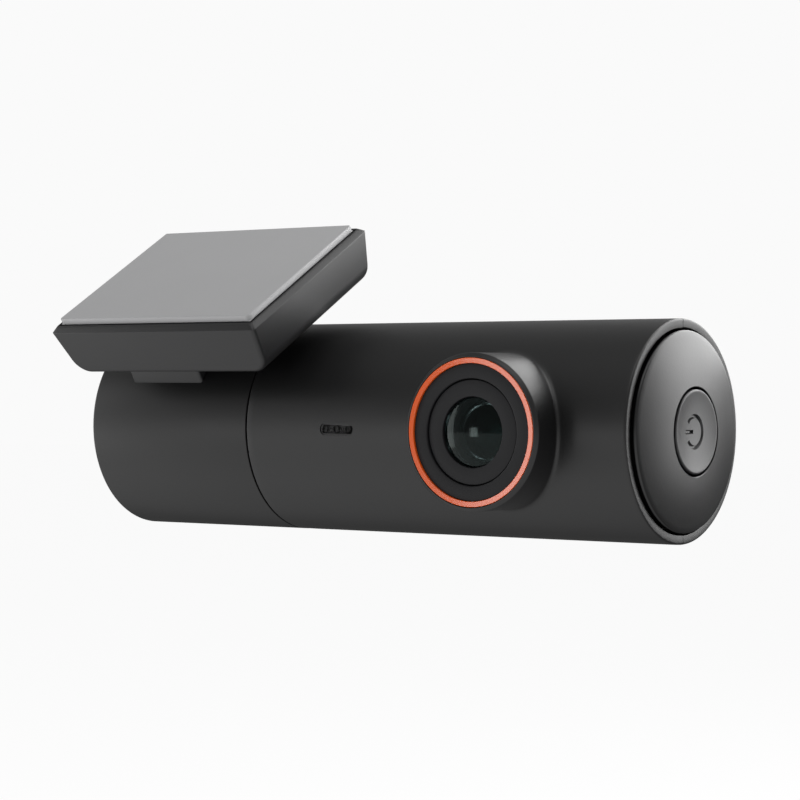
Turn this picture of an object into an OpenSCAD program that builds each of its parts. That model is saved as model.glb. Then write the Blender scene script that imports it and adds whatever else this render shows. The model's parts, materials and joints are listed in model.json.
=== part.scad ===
// Barrel dash camera on a tilted windscreen bracket, in millimetres.
// X runs along the barrel, -Y is the way the lens looks and +Z is up.
// The origin is the centre of the adhesive pad's outer face.
// Most modules work in the barrel frame: its X axis is the barrel's axis and
// x = 0 is the seam between the fixed sleeve (x < 0) and the turning body.

/* [Barrel] */
// Outer radius of the barrel
barrel_r = 16; // [15.5:0.1:20]
// Wall thickness of the barrel's shells
shell_wall = 1.6; // [1.4:0.1:2]
// Length of the fixed sleeve under the bracket
sleeve_len = 31.5; // [31:0.1:42]
// Length of the turning camera body
body_len = 66.4; // [66:0.1:84]
// Gap seen between the sleeve and the turning body
seam_gap = 0.3; // [0.2:0.05:0.5]
// Gap between the front and rear half shells
parting_gap = 0.1; // [0.05:0.05:0.2]
// Chamfer on the barrel's outer edges
edge_break = 0.3; // [0.1:0.1:0.6]

/* [Tilt joint] */
// Furthest the lens turns up, in degrees
tilt_up = 40; // [20:5:60]
// Furthest the lens turns down, in degrees
tilt_down = 60; // [20:5:80]
// Outer radius of the hub that the body turns on
hub_r = 9.6; // [8:0.1:10.5]
// Wall thickness of the hub
hub_wall = 1.6; // [1.2:0.1:2]
// Length of the bearing bush in the sleeve
bush_len = 7.2; // [5:0.1:9]
// Radial running clearance of the hub in its bush
hub_clearance = 0.06; // [0.03:0.01:0.1]

/* [Lens] */
// Distance from the turning body's left end to the lens axis
lens_from_seam = 44.4; // [41:0.1:48]
// How far the lens housing stands out of the barrel
lens_proud = 5.2; // [3.5:0.1:7]
// Outer radius of the lens housing
lens_housing_r = 11.15; // [10.9:0.05:11.4]
// Outer radius of the coloured trim ring
trim_r = 10.5; // [10.3:0.05:10.6]
// Inner radius of the coloured trim ring
trim_bore_r = 9.57; // [9.4:0.01:9.8]
// Outer radius of the name plate inside the bezel
plate_r = 7.4; // [7:0.1:7.6]
// Radius of the front lens element
glass_r = 4.9; // [4:0.1:5.2]

/* [Power button] */
// Width of the shells' rim around the end cap
cap_rim = 1.35; // [0.9:0.05:1.4]
// Gap between the end cap and that rim
cap_gap = 0.3; // [0.2:0.05:0.9]
// How far the end cap's edge stands out of the rim
cap_proud = 1; // [0.5:0.1:1.5]
// Height of the end cap's dome, from that edge to where the button sits
cap_crown = 1.1; // [0.8:0.1:2]
// Radius of the power button
button_r = 6; // [5:0.1:6.5]
// Gap around the power button
button_gap = 0.35; // [0.25:0.05:0.5]
// Travel of the power button
button_travel = 0.4; // [0.2:0.05:0.5]

/* [Memory card] */
// Width of the memory card
card_w = 11; // [11:1:15]
// Length of the memory card
card_len = 15; // [15:1:16]
// Thickness of the memory card
card_t = 0.8; // [0.7:0.1:1]

/* [Bracket] */
// Slope of the windscreen face from level, in degrees
lean = 30; // [20:1:45]
// Width of the adhesive pad
pad_w = 38; // [37:0.1:46]
// Length of the adhesive pad up the slope
pad_l = 29.2; // [28:0.1:36]
// Thickness of the adhesive pad
pad_t = 1; // [0.8:0.1:2]
// Rim of the bracket seen at the pad's left and right
pad_rim = 0.47; // [0.4:0.01:1.5]
// Rim of the bracket seen at the pad's front and back
pad_end_rim = 0.67; // [0.4:0.01:1.5]
// Chamfer of the bracket's rim
rim_chamfer = 0.75; // [0.4:0.05:1.2]
// Overall thickness of the bracket's housing
bracket_t = 8.6; // [8.4:0.1:12]
// Inward draft of the bracket's four walls, in degrees
bracket_draft = 9.4; // [4:0.1:12]
// Clear gap between the bracket's underside and the barrel
bracket_gap = 2.1; // [1.5:0.1:4]
// Distance from the seam to the pad's centre, towards the sleeve
pad_from_seam = 9.8; // [8:0.1:13]
// Distance from the seam to the rail's centre, towards the sleeve
rail_from_seam = 16.9; // [16:0.1:21]
// Width of the rail along the barrel
rail_w = 14.1; // [12:0.1:16]
// Half length of the rail's saddle across the barrel
saddle_half = 9.1; // [8.8:0.1:9.5]
// How far the camera slides to leave the bracket
rail_travel = 20; // [18:1:24]

/* [Hidden] */
$fn = 96;
inner_r = barrel_r - shell_wall;
body_x0 = seam_gap;
body_x1 = body_x0 + body_len;
lens_x = body_x0 + lens_from_seam;
lens_front = barrel_r + lens_proud;
slide_gap = 0.3;              // clearance around parts that slide
snug = 0.05;                  // clearance around parts that are pressed in
over = 1;                     // how far a cut runs past the face it cuts

// Screws shared by the whole camera
thread_r = 0.7;
pilot_r = thread_r + 0.02;
clear_r = 0.9;
head_r = 1.4;
head_t = 1;

// End bosses of the half shells, and the bolt circle they stand on
boss_r = 2.4;
boss_len = 4;
bolt_circle_r = inner_r - 2.2;

// Hinge parts
flange_t = 2.2;
flange_x0 = body_x0 + 0.3;
bush_x1 = -0.2;
bush_x0 = bush_x1 - bush_len;
washer_t = 0.7;
washer_gap = 0.3;
ring_t = 0.8;
washer_x1 = bush_x0 - washer_gap;
ring_x1 = washer_x1 - washer_t - 0.1;
hub_x0 = ring_x1 - ring_t - 0.6;
lug_r = hub_r + 1.8;
lug_x0 = -2.6;
lug_arc = 24;

// Right-hand end: mouth, end frame, switch and cap
mouth_r = barrel_r - cap_rim;
cap_r = mouth_r - cap_gap;
frame_t = 1.5;
frame_x0 = body_x1 - 8.3;
frame_x1 = frame_x0 + frame_t;
switch_board_t = 0.8;
switch_board_x1 = frame_x1 + switch_board_t;
switch_t = 1.5;
switch_x1 = switch_board_x1 + switch_t;
plunger_r = 1.2;
stem_x0 = switch_x1 + 0.5;
button_x0 = stem_x0 + 0.5;
cap_t = 1.3;
collar_t = 0.9;
button_flange_t = 0.8;
collar_x0 = button_x0 + button_flange_t + slide_gap;
button_hole_r = button_r + button_gap;
flange_r = button_hole_r + 0.7;
cap_skirt_x0 = frame_x1 + 1.6;
mouth_x0 = cap_skirt_x0 - slide_gap;
dome_a = ((cap_r * cap_r - button_hole_r * button_hole_r) - cap_crown * cap_crown) / (2 * cap_crown);
dome_r = sqrt(dome_a * dome_a + cap_r * cap_r);
dome_x = body_x1 + cap_proud - dome_a;
button_top = body_x1 + cap_proud + cap_crown + 0.2;
dish_r = 24;
symbol_r = 2.2;
symbol_stroke = 0.5;
symbol_depth = 0.3;

// Lens stack, as distances forward from the barrel's axis
trim_t = 1.5;
bezel_front = lens_front - 0.3;
bezel_depth = 4.6;
groove = 0.12;
plate_front = lens_front - 0.6;
plate_t = 1.6;
tube_head_front = plate_front - plate_t;
tube_head_t = 4.4;
tube_head_r = plate_r - 0.2;
tube_r = 6;
tube_bore_r = glass_r - 0.9;
tube_back = 7.4;
glass_back = tube_head_front - 2.4;
glass_front = lens_front - 0.15;
glass_dome_r = 14;
board_t = 1.2;
sensor_board_front = 2.2;
sensor_board_half = 10;
post_at = 8.2;
post_r = 1.6;
holder_half = 7;
holder_flange = 4.8;
holder_front = 12;
holder_wall = 1.2;

// Microphone port
mic_from_seam = 17.1;
mic_x = body_x0 + mic_from_seam;
mic_spacing = 2.13;
mic_hole_r = 0.54;
mic_slot_len = 6.2;
mic_slot_h = 1.8;
mic_slot_depth = 0.3;
mic_seat = inner_r - 1.2;

// Main board and what it carries
board_y = 3;
main_t = 1;
board_back = board_y + main_t;
main_x0 = body_x0 + 8;
main_x1 = body_x0 + 54.9;
board_half = inner_r - 2.4;
standoff_z = inner_r - 5.4;
standoff_r = 1.8;
standoff_xs = [body_x0 + 9.7, body_x0 + 52.4];
capacitor_r = 3.9;
capacitor_len = 18;
capacitor_x = body_x0 + 14.3;
spreader_back = board_back + 0.9;
capacitor_y = spreader_back + 0.2 + capacitor_r;
capacitor_z = capacitor_r + 0.3;
speaker_x = body_x0 + 46.2;
speaker_r = 6.8;
speaker_y1 = inner_r - 3;
speaker_t = 3.4;
card_x = body_x0 + 42.9;
card_gap = 0.25;
card_y = board_back + 0.5;
card_tail = sqrt(barrel_r * barrel_r - 25) - 0.3;
socket_wall = 1.25;
socket_t = card_t + 2 * 0.2 + 0.6;
socket_y1 = board_back + socket_t + 0.1;
socket_tail = sqrt(inner_r * inner_r - socket_y1 * socket_y1) - 0.137;

// Port board and socket in the sleeve
sleeve_end = -sleeve_len;
end_wall = 2;
port_w = 8.94;
port_h = 3.2;
port_len = 7.35;
port_shell = 0.3;
port_x0 = sleeve_end + 0.4;
port_board_t = 1;
port_board_x0 = sleeve_end + end_wall + 0.2;
port_board_x1 = -13.5;
port_board_half = 7.6;
port_screw_x = [port_board_x1 - 2.6, port_board_x1 - 8];
port_screw_y = 5.6;

// Bracket: heights are measured up from the barrel's axis, square to the pad
pad_top = barrel_r + bracket_gap + bracket_t + pad_t;
bracket_top = pad_top - pad_t;
bracket_bottom = bracket_top - bracket_t;
bracket_w = pad_w + 2 * (pad_rim + rim_chamfer);
bracket_l = pad_l + 2 * (pad_end_rim + rim_chamfer);
draft_in = (bracket_t - rim_chamfer) * tan(bracket_draft);
base_half_w = bracket_w / 2 - draft_in;
base_half_l = bracket_l / 2 - draft_in;
base_round = 2;
wall_round = 1;
bracket_floor = 1.7;
bracket_wall = 2.1;
cover_t = 1.5;
cover_bottom = bracket_top - cover_t;
stem_half = 6;
head_half = 8.5;
stem_top = bracket_bottom + bracket_floor + slide_gap;
head_top = stem_top + 2.2;
rail_x = pad_from_seam - rail_from_seam;      // from the pad's centre
rail_end = rail_x + rail_w / 2 + slide_gap;
cover_screw_x = base_half_w - 4.4;
cover_screw_v = head_half + slide_gap + boss_r + 0.1;
spring_t = 0.4;
rail_screw_at = 4;

// ---------- Frames and shared shapes ----------

module barrel_frame() {
    translate([pad_from_seam, sin(lean) * pad_top, -cos(lean) * pad_top]) children();
}

// Z is the height above the barrel's axis, Y runs up the slope, x = 0 is the pad's centre
module bracket_frame() {
    barrel_frame() translate([-pad_from_seam, 0, 0]) rotate([lean, 0, 0]) children();
}

// Z points out of the lens, x and y are across it
module lens_frame() {
    barrel_frame() translate([lens_x, 0, 0]) rotate([90, 0, 0]) children();
}

module rod_x(x0, x1, r) {
    translate([x0, 0, 0]) rotate([0, 90, 0]) cylinder(r = r, h = x1 - x0);
}

module tube_x(x0, x1, outer, inner) {
    difference() {
        rod_x(x0, x1, outer);
        rod_x(x0 - over, x1 + over, inner);
    }
}

// A profile of [radius, x] points turned about the barrel's axis
module turned_x(profile) {
    rotate([0, 90, 0]) rotate_extrude() polygon(profile);
}

module disc(z0, z1, r) {
    translate([0, 0, z0]) cylinder(r = r, h = z1 - z0);
}

module washer(z0, z1, outer, inner) {
    difference() {
        disc(z0, z1, outer);
        disc(z0 - over, z1 + over, inner);
    }
}

// A block given by its low and high corners
module block(low, high) {
    translate(low) cube(high - low);
}

module rounded_plate(w, l, r, z0, z1) {
    translate([0, 0, z0]) linear_extrude(z1 - z0) rounded_outline(w, l, r);
}

module rounded_outline(w, l, r) {
    square([w - 2 * r, l], center = true);
    square([w, l - 2 * r], center = true);
    for (x = [-1, 1], y = [-1, 1]) translate([x * (w / 2 - r), y * (l / 2 - r)]) circle(r = r);
}

// Pan-head screw whose head's underside is at z = 0 and whose shaft points to -Z
module screw(length) {
    difference() {
        union() {
            cylinder(r = head_r, h = head_t);
            translate([0, 0, -length]) cylinder(r = thread_r, h = length);
        }
        translate([0, 0, head_t / 2]) for (a = [0, 90]) rotate([0, 0, a])
            translate([-0.8, -0.15, 0]) cube([1.6, 0.3, head_t]);
    }
}

// Four places on the end bolt circle, 45 degrees off the parting plane; front = -1 or 1
module bolt_places(sides) {
    for (s = sides, z = [-1, 1])
        translate([0, s * bolt_circle_r * cos(45), z * bolt_circle_r * sin(45)]) children();
}

// ---------- Bracket ----------

module adhesive_pad() {
    color("darkgray") bracket_frame() rounded_plate(pad_w, pad_l, 0.6, bracket_top, pad_top);
}

module bracket_body() {
    slab = 0.05;
    hull() {
        for (s = [[bracket_top - slab, pad_w + 2 * pad_rim, pad_l + 2 * pad_end_rim],
                  [bracket_top - rim_chamfer, bracket_w, bracket_l]])
            translate([0, 0, s[0]]) linear_extrude(slab) rounded_outline(s[1], s[2], wall_round, $fn = 32);
        for (x = [-1, 1])
            translate([x * (base_half_w - base_round), 0, bracket_bottom + base_round])
                rotate([90, 0, 0]) cylinder(r = base_round, h = 2 * base_half_l, center = true, $fn = 32);
    }
}

module bracket_housing() {
    rib_v = head_half + slide_gap;
    floor_z = bracket_bottom + bracket_floor;
    color("dimgray") bracket_frame() difference() {
        union() {
            difference() {
                bracket_body();
                block([-base_half_w + bracket_wall, -base_half_l + bracket_wall, floor_z],
                      [base_half_w - bracket_wall, base_half_l - bracket_wall, bracket_top + over]);
            }
            for (s = [-1, 1])
                translate([0, s * (rib_v + 0.7), 0])
                    block([-base_half_w + 1, -0.7, floor_z - 0.2], [rail_end + 1.5, 0.7, head_top + slide_gap]);
            block([rail_end, -rib_v - 0.5, floor_z - 0.2], [rail_end + 1.5, rib_v + 0.5, head_top + slide_gap]);
            for (x = [-1, 1], v = [-1, 1]) translate([x * cover_screw_x, v * cover_screw_v, 0])
                disc(floor_z - 0.2, cover_bottom, boss_r);
        }
        rounded_plate(pad_w - 0.2, pad_l - 0.2, 1, cover_bottom, bracket_top + over);
        block([-bracket_w, -stem_half - slide_gap, bracket_bottom - over], [rail_end, stem_half + slide_gap, stem_top]);
        block([-bracket_w, -rib_v, floor_z], [-base_half_w + bracket_wall + over, rib_v, head_top + slide_gap]);
        for (x = [-1, 1], v = [-1, 1]) translate([x * cover_screw_x, v * cover_screw_v, 0])
            disc(cover_bottom - 4.4, bracket_top, pilot_r);
    }
}

module bracket_cover() {
    color("dimgray") bracket_frame() difference() {
        rounded_plate(pad_w - 0.3, pad_l - 0.3, 0.95, cover_bottom, bracket_top);
        for (x = [-1, 1], v = [-1, 1]) translate([x * cover_screw_x, v * cover_screw_v, 0]) {
            disc(cover_bottom - over, bracket_top + over, clear_r);
            disc(bracket_top - head_t, bracket_top + over, head_r + snug);
        }
    }
}

module bracket_screws() {
    color("silver") bracket_frame() for (x = [-1, 1], v = [-1, 1])
        translate([x * cover_screw_x, v * cover_screw_v, bracket_top - head_t]) screw(4);
}

// Leaf spring that rubs on the rail's head and keeps the camera from sliding off
module rail_spring() {
    low = head_top + slide_gap;
    up = cover_bottom;
    color("silver") bracket_frame() translate([rail_x, 4, 0]) rotate([90, 0, 0]) linear_extrude(8)
        polygon([[-6.5, up], [-4.6, up], [-2.6, low + spring_t], [2.6, low + spring_t], [4.6, up], [6.5, up],
                 [6.5, up - spring_t], [4.8, up - spring_t], [2.8, low], [-2.8, low],
                 [-4.8, up - spring_t], [-6.5, up - spring_t]]);
}

// ---------- Sleeve ----------

// T-shaped rail on a saddle that sits on the sleeve
module mount_rail() {
    color("dimgray") bracket_frame() translate([rail_x, 0, 0]) difference() {
        union() {
            block([-rail_w / 2, -saddle_half, barrel_r / 2], [rail_w / 2, saddle_half, bracket_bottom - slide_gap]);
            block([-rail_w / 2, -stem_half, bracket_bottom - over], [rail_w / 2, stem_half, stem_top + 0.5]);
            block([-rail_w / 2, -head_half, stem_top], [rail_w / 2, head_half, head_top]);
        }
        rod_x(-rail_w, rail_w, barrel_r);
        for (x = [-1, 1]) translate([x * rail_screw_at, 0, 0]) disc(barrel_r - over, head_top - 1, pilot_r);
    }
}

module rail_screws() {
    color("silver") bracket_frame() for (x = [-1, 1])
        translate([rail_x + x * rail_screw_at, 0, inner_r - 0.15]) mirror([0, 0, 1]) screw(5.5);
}

module port_opening(grow) {
    translate([sleeve_end, 0, 0]) rotate([0, 90, 0])
        rounded_plate(port_h + grow, port_w + grow, (port_h + grow) / 2 - 0.05, -over, end_wall + over);
}

module sleeve_shell() {
    color("#2c2c2e") barrel_frame() difference() {
        union() {
            turned_x([[0, sleeve_end], [barrel_r - edge_break, sleeve_end], [barrel_r, sleeve_end + edge_break],
                      [barrel_r, -0.1], [barrel_r - 0.1, 0], [inner_r, 0],
                      [inner_r, sleeve_end + end_wall], [0, sleeve_end + end_wall]]);
            intersection() {
                for (x = port_screw_x, y = [-1, 1]) translate([x, y * port_screw_y, 0])
                    disc(-barrel_r, -port_h / 2 - port_board_t, standoff_r);
                rod_x(sleeve_end + end_wall / 2, 0, barrel_r - shell_wall / 2);
            }
        }
        port_opening(0.4);
        for (x = port_screw_x, y = [-1, 1]) translate([x, y * port_screw_y, 0])
            disc(-port_h / 2 - 5, 0, pilot_r);
        translate([-pad_from_seam, 0, 0]) rotate([lean, 0, 0])
            for (x = [-1, 1]) translate([rail_x + x * rail_screw_at, 0, 0]) disc(inner_r - 2, barrel_r + over, clear_r);
    }
}

module hinge_bush() {
    stop_r = lug_r + 0.4;
    color("whitesmoke") barrel_frame() difference() {
        tube_x(bush_x0, bush_x1, inner_r - 0.01, hub_r + hub_clearance);
        // Pocket for the hub's stop lug; the lug rests at the top of the barrel
        rotate([90 + tilt_down + lug_arc / 2 + 1, 0, 0])
            pie_cut(lug_x0 - 0.3, bush_x1 + over, stop_r, tilt_up + tilt_down + lug_arc + 2);
    }
}

// A sector of a rod along X: it starts at +Y and runs towards -Z by arc degrees
module pie_cut(x0, x1, r, arc) {
    translate([x0, 0, 0]) rotate([0, 90, 0]) rotate([0, 0, 90 - arc])
        rotate_extrude(angle = arc) square([r, x1 - x0]);
}

module usb_socket() {
    color("silver") barrel_frame() translate([port_x0, 0, 0]) rotate([0, 90, 0]) {
        difference() {
            rounded_plate(port_h, port_w, port_h / 2 - 0.05, 0, port_len);
            rounded_plate(port_h - 2 * port_shell, port_w - 2 * port_shell, port_h / 2 - port_shell - 0.05,
                          -over, port_len - 1.2);
        }
        translate([0, 0, 0.8]) rounded_plate(0.7, port_w - 2.2, 0.2, 0, port_len - 1.5);
    }
}

module port_board() {
    color("darkgreen") barrel_frame() difference() {
        block([port_board_x0, -port_board_half, -port_h / 2 - port_board_t],
              [port_board_x1, port_board_half, -port_h / 2]);
        for (x = port_screw_x, y = [-1, 1]) translate([x, y * port_screw_y, 0]) disc(-5, 0, clear_r);
    }
}

module port_screws() {
    color("silver") barrel_frame() for (x = port_screw_x, y = [-1, 1])
        translate([x, y * port_screw_y, -port_h / 2]) screw(4);
}

module flex_connector() {
    color("ivory") barrel_frame() block([port_board_x1 - 4, -3.6, -port_h / 2], [port_board_x1 - 0.5, 3.6, -0.15]);
}

// Ribbon that crosses the joint on the barrel's axis
module flex_cable() {
    color("orange") barrel_frame() block([port_board_x1 - 3.5, -3, -0.15], [body_x0 + 6.5, 3, 0.15]);
}

// ---------- Tilt joint ----------

module hinge_hub() {
    color("gray") barrel_frame() difference() {
        union() {
            rod_x(flange_x0, flange_x0 + flange_t, inner_r - snug);
            rod_x(hub_x0, flange_x0 + flange_t, hub_r);
            // Stop lug at the top of the hub
            rotate([90 + lug_arc / 2, 0, 0]) pie_cut(lug_x0, flange_x0 + 0.5, lug_r, lug_arc);
        }
        rod_x(hub_x0 - over, flange_x0 + flange_t + over, hub_r - hub_wall);
        bolt_places([-1, 1]) {
            rod_x(flange_x0 - over, flange_x0 + flange_t + over, clear_r);
            rod_x(flange_x0 - over, flange_x0 + head_t, head_r + snug);
        }
    }
}

module hub_screws() {
    color("silver") barrel_frame() bolt_places([-1, 1])
        translate([flange_x0 + head_t, 0, 0]) rotate([0, -90, 0]) screw(4.5);
}

module wave_washer() {
    color("silver") barrel_frame() tube_x(washer_x1 - washer_t, washer_x1, hub_r + 3, hub_r + 0.1);
}

module retaining_ring() {
    color("silver") barrel_frame() difference() {
        tube_x(ring_x1 - ring_t, ring_x1, hub_r + 1.8, hub_r + 0.01);
        block([ring_x1 - ring_t - over, -1, -barrel_r], [ring_x1 + over, 1, 0]);
    }
}

// ---------- Turning body: shells ----------

module body_tube() {
    turned_x([[inner_r, body_x0], [barrel_r - 0.1, body_x0], [barrel_r, body_x0 + 0.1],
              [barrel_r, body_x1 - edge_break], [barrel_r - edge_break, body_x1], [mouth_r, body_x1],
              [mouth_r, mouth_x0], [inner_r, mouth_x0]]);
}

// Keeps the half on one side of the parting plane: side = -1 front, 1 rear
module half_of_barrel(side) {
    intersection() {
        children();
        translate([0, side > 0 ? parting_gap / 2 : -2 * barrel_r - parting_gap / 2, -2 * barrel_r])
            cube([body_x1 + over, 2 * barrel_r, 4 * barrel_r]);
    }
}

module end_bosses(side) {
    intersection() {
        bolt_places([side]) {
            rod_x(flange_x0 + flange_t, flange_x0 + flange_t + boss_len, boss_r);
            rod_x(frame_x0 - boss_len, frame_x0, boss_r);
        }
        rod_x(0, body_x1, barrel_r - shell_wall / 2);
    }
}

module end_boss_pilots(side) {
    bolt_places([side]) {
        rod_x(flange_x0 + flange_t - over, flange_x0 + flange_t + boss_len - 0.5, pilot_r);
        rod_x(frame_x0 - boss_len + 0.5, frame_x0 + over, pilot_r);
    }
}

module at_lens() {
    translate([lens_x, 0, 0]) rotate([90, 0, 0]) children();
}

module sensor_places() {
    for (x = [-1, 1], y = [-1, 1]) translate([x * post_at, y * post_at, 0]) children();
}

module lens_housing() {
    chamfer = 0.45;
    difference() {
        at_lens() {
            disc(barrel_r / 2, lens_front - chamfer, lens_housing_r);
            translate([0, 0, lens_front - chamfer])
                cylinder(r1 = lens_housing_r, r2 = lens_housing_r - chamfer, h = chamfer);
        }
        rod_x(0, body_x1, inner_r);
    }
}

module front_shell() {
    color("#2c2c2e") barrel_frame() difference() {
        union() {
            half_of_barrel(-1) body_tube();
            lens_housing();
            end_bosses(-1);
            intersection() {
                at_lens() sensor_places() disc(sensor_board_front, barrel_r, post_r);
                rod_x(0, body_x1, barrel_r - shell_wall / 2);
            }
            block([mic_x - 4.6, -barrel_r + shell_wall / 2, -2.2], [mic_x + 4.6, -mic_seat, 2.2]);
        }
        at_lens() {
            disc(inner_r / 2, lens_front + over, trim_bore_r - snug / 2);
            disc(lens_front - trim_t, lens_front + over, trim_r + snug / 2);
            sensor_places() disc(sensor_board_front - over, sensor_board_front + 4, pilot_r);
        }
        end_boss_pilots(-1);
        for (i = [-1, 0, 1]) translate([mic_x + i * mic_spacing, 0, 0]) rotate([90, 0, 0])
            disc(mic_seat - over, barrel_r + over, mic_hole_r);
        translate([mic_x, 0, 0]) rotate([90, 0, 0])
            rounded_plate(mic_slot_len, mic_slot_h, mic_slot_h / 2 - 0.02, barrel_r - mic_slot_depth, barrel_r + over);
    }
}

module rear_shell() {
    color("#2c2c2e") barrel_frame() difference() {
        union() {
            half_of_barrel(1) body_tube();
            end_bosses(1);
            intersection() {
                for (x = standoff_xs, z = [-1, 1]) translate([x, 0, z * standoff_z]) rotate([-90, 0, 0])
                    disc(board_back, barrel_r, standoff_r);
                rod_x(0, body_x1, barrel_r - shell_wall / 2);
            }
        }
        end_boss_pilots(1);
        for (x = standoff_xs, z = [-1, 1]) translate([x, 0, z * standoff_z]) rotate([-90, 0, 0])
            disc(board_back - over, board_back + 4, pilot_r);
        // Speaker grille
        translate([speaker_x, 0, 0]) rotate([-90, 0, 0]) {
            disc(inner_r - over, barrel_r + over, 0.6);
            for (ring = [1, 2], i = [0 : 6 * ring - 1]) rotate([0, 0, i * 60 / ring])
                translate([2.1 * ring, 0, 0]) disc(inner_r - 2, barrel_r + over, 0.6);
        }
        // Cooling slots over the capacitors
        for (i = [0 : 5]) translate([capacitor_x + 1.5 + i * 3, 0, 0])
            block([-0.6, inner_r - 2.5, -5], [0.6, barrel_r + over, 5]);
        // Card slot in the underside, with a shallow thumb scoop
        block([card_x - card_w / 2 - card_gap, card_y - 0.25, -barrel_r - over],
              [card_x + card_w / 2 + card_gap, card_y + card_t + 0.25, -socket_tail]);
        translate([card_x, card_y - 2, -barrel_r - 4.9]) rotate([-90, 0, 0]) disc(0, card_t + 4, 6);
    }
}

// ---------- Turning body: lens ----------

module lens_trim_ring() {
    color("#d9531e") lens_frame() washer(lens_front - trim_t, lens_front, trim_r, trim_bore_r);
}

module lens_bezel() {
    color("#2e3032") lens_frame() difference() {
        disc(bezel_front - bezel_depth, bezel_front, trim_bore_r - snug);
        disc(bezel_front - bezel_depth - over, bezel_front + over, plate_r + groove);
    }
}

module lens_plate() {
    color("#2a2c2e") lens_frame() washer(tube_head_front, plate_front, plate_r, glass_r + 0.1);
}

module lens_tube() {
    color("#1c1c1e") lens_frame() difference() {
        union() {
            disc(tube_back, tube_head_front, tube_r);
            disc(tube_head_front - tube_head_t, tube_head_front, tube_head_r);
        }
        disc(tube_back - over, tube_head_front + over, tube_bore_r);
        disc(glass_back, tube_head_front + over, glass_r + snug / 2);
    }
}

module front_element() {
    color("#14181a") lens_frame() intersection() {
        disc(glass_back, lens_front, glass_r);
        translate([0, 0, glass_front - glass_dome_r]) sphere(r = glass_dome_r);
    }
}

module middle_element() {
    color("lightcyan") lens_frame() disc(glass_back - 3, glass_back - 1.5, tube_bore_r - snug / 2);
}

module relay_element() {
    color("lightcyan") lens_frame() disc(tube_back + 1.5, tube_back + 3, tube_bore_r - snug / 2);
}

module lens_holder() {
    color("#1c1c1e") lens_frame() difference() {
        union() {
            block([-holder_half, -holder_half, sensor_board_front],
                  [holder_half, holder_half, sensor_board_front + holder_flange]);
            disc(sensor_board_front + holder_flange - 0.2, holder_front, tube_r + snug + holder_wall);
        }
        disc(tube_back - 0.1, holder_front + over, tube_r + snug);
        block([-4.5, -4.5, sensor_board_front - over], [4.5, 4.5, sensor_board_front + 3.4]);
        disc(sensor_board_front, tube_back + over, 3.6);
    }
}

module ir_filter() {
    color("#6fa8b8") lens_frame() block([-4.2, -4.2, sensor_board_front + 3], [4.2, 4.2, sensor_board_front + 3.4]);
}

module image_sensor() {
    color("#101418") lens_frame() block([-3.8, -2.9, sensor_board_front], [3.8, 2.9, sensor_board_front + 0.9]);
}

module sensor_board() {
    color("darkgreen") lens_frame() difference() {
        block([-sensor_board_half, -sensor_board_half, sensor_board_front - board_t],
              [sensor_board_half, sensor_board_half, sensor_board_front]);
        sensor_places() disc(0, sensor_board_front + over, clear_r);
    }
}

module sensor_screws() {
    color("silver") lens_frame() sensor_places()
        translate([0, 0, sensor_board_front - board_t]) mirror([0, 0, 1]) screw(4);
}

// Stacking connector between the sensor board and the main board
module board_connector() {
    color("ivory") barrel_frame() block([lens_x - 6, -sensor_board_front + board_t, -1.3], [lens_x + 6, board_y, 1.3]);
}

// ---------- Turning body: microphone ----------

module mic_frame() {
    barrel_frame() translate([mic_x, 0, 0]) rotate([90, 0, 0]) children();
}

module mic_gasket() {
    color("#3a3a3a") mic_frame() difference() {
        block([-4, -2, mic_seat - 1.4], [4, 2, mic_seat]);
        for (i = [-1, 0, 1]) translate([i * mic_spacing, 0, 0]) disc(mic_seat - 2, mic_seat + over, mic_hole_r);
    }
}

module mic_board() {
    color("darkgreen") mic_frame() difference() {
        block([-4.4, -2.2, mic_seat - 2.2], [4.4, 2.2, mic_seat - 1.4]);
        disc(mic_seat - 3, mic_seat, mic_hole_r);
    }
}

module microphone() {
    color("gold") mic_frame() block([-1.9, -1.5, mic_seat - 3.2], [1.9, 1.5, mic_seat - 2.2]);
}

// ---------- Turning body: main board ----------

module main_board() {
    color("darkgreen") barrel_frame() difference() {
        block([main_x0, board_y, -board_half], [main_x1, board_back, board_half]);
        for (x = standoff_xs, z = [-1, 1]) translate([x, 0, z * standoff_z]) rotate([-90, 0, 0])
            disc(board_y - over, board_back + over, clear_r);
    }
}

module main_screws() {
    color("silver") barrel_frame() for (x = standoff_xs, z = [-1, 1])
        translate([x, board_y, z * standoff_z]) rotate([90, 0, 0]) screw(4.5);
}

// A chip on the front face of the main board, centred at [x, z]
module chip(x, z, w, h, t) {
    barrel_frame() block([body_x0 + x - w / 2, board_y - t, z - h / 2], [body_x0 + x + w / 2, board_y, z + h / 2]);
}

module processor() {
    color("#202020") chip(20, 0, 12, 12, 1.2);
}

module memory_chip() {
    color("#202020") chip(20, -9.3, 9, 4, 1);
}

module radio_module() {
    color("silver") chip(20, 9.3, 10, 4, 1.4);
}

module thermal_pad() {
    color("lightblue") barrel_frame() block([capacitor_x, board_back, -6.3], [capacitor_x + 17, board_back + 0.4, 6.3]);
}

module heat_spreader() {
    color("silver") barrel_frame() block([capacitor_x - 0.3, board_back + 0.4, -6.6],
                                         [capacitor_x + capacitor_len, spreader_back, 6.6]);
}

module supercapacitors() {
    color("royalblue") barrel_frame() for (s = [-1, 1])
        translate([0, capacitor_y, s * capacitor_z]) rod_x(capacitor_x, capacitor_x + capacitor_len, capacitor_r);
}

module speaker() {
    color("#222222") barrel_frame() translate([speaker_x, 0, 0]) rotate([-90, 0, 0]) {
        disc(speaker_y1 - speaker_t, speaker_y1 - 0.8, speaker_r - 0.8);
        washer(speaker_y1 - 0.9, speaker_y1, speaker_r, speaker_r - 1.2);
        disc(speaker_y1 - 0.9, speaker_y1 - 0.5, speaker_r - 1.1);
    }
}

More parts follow.
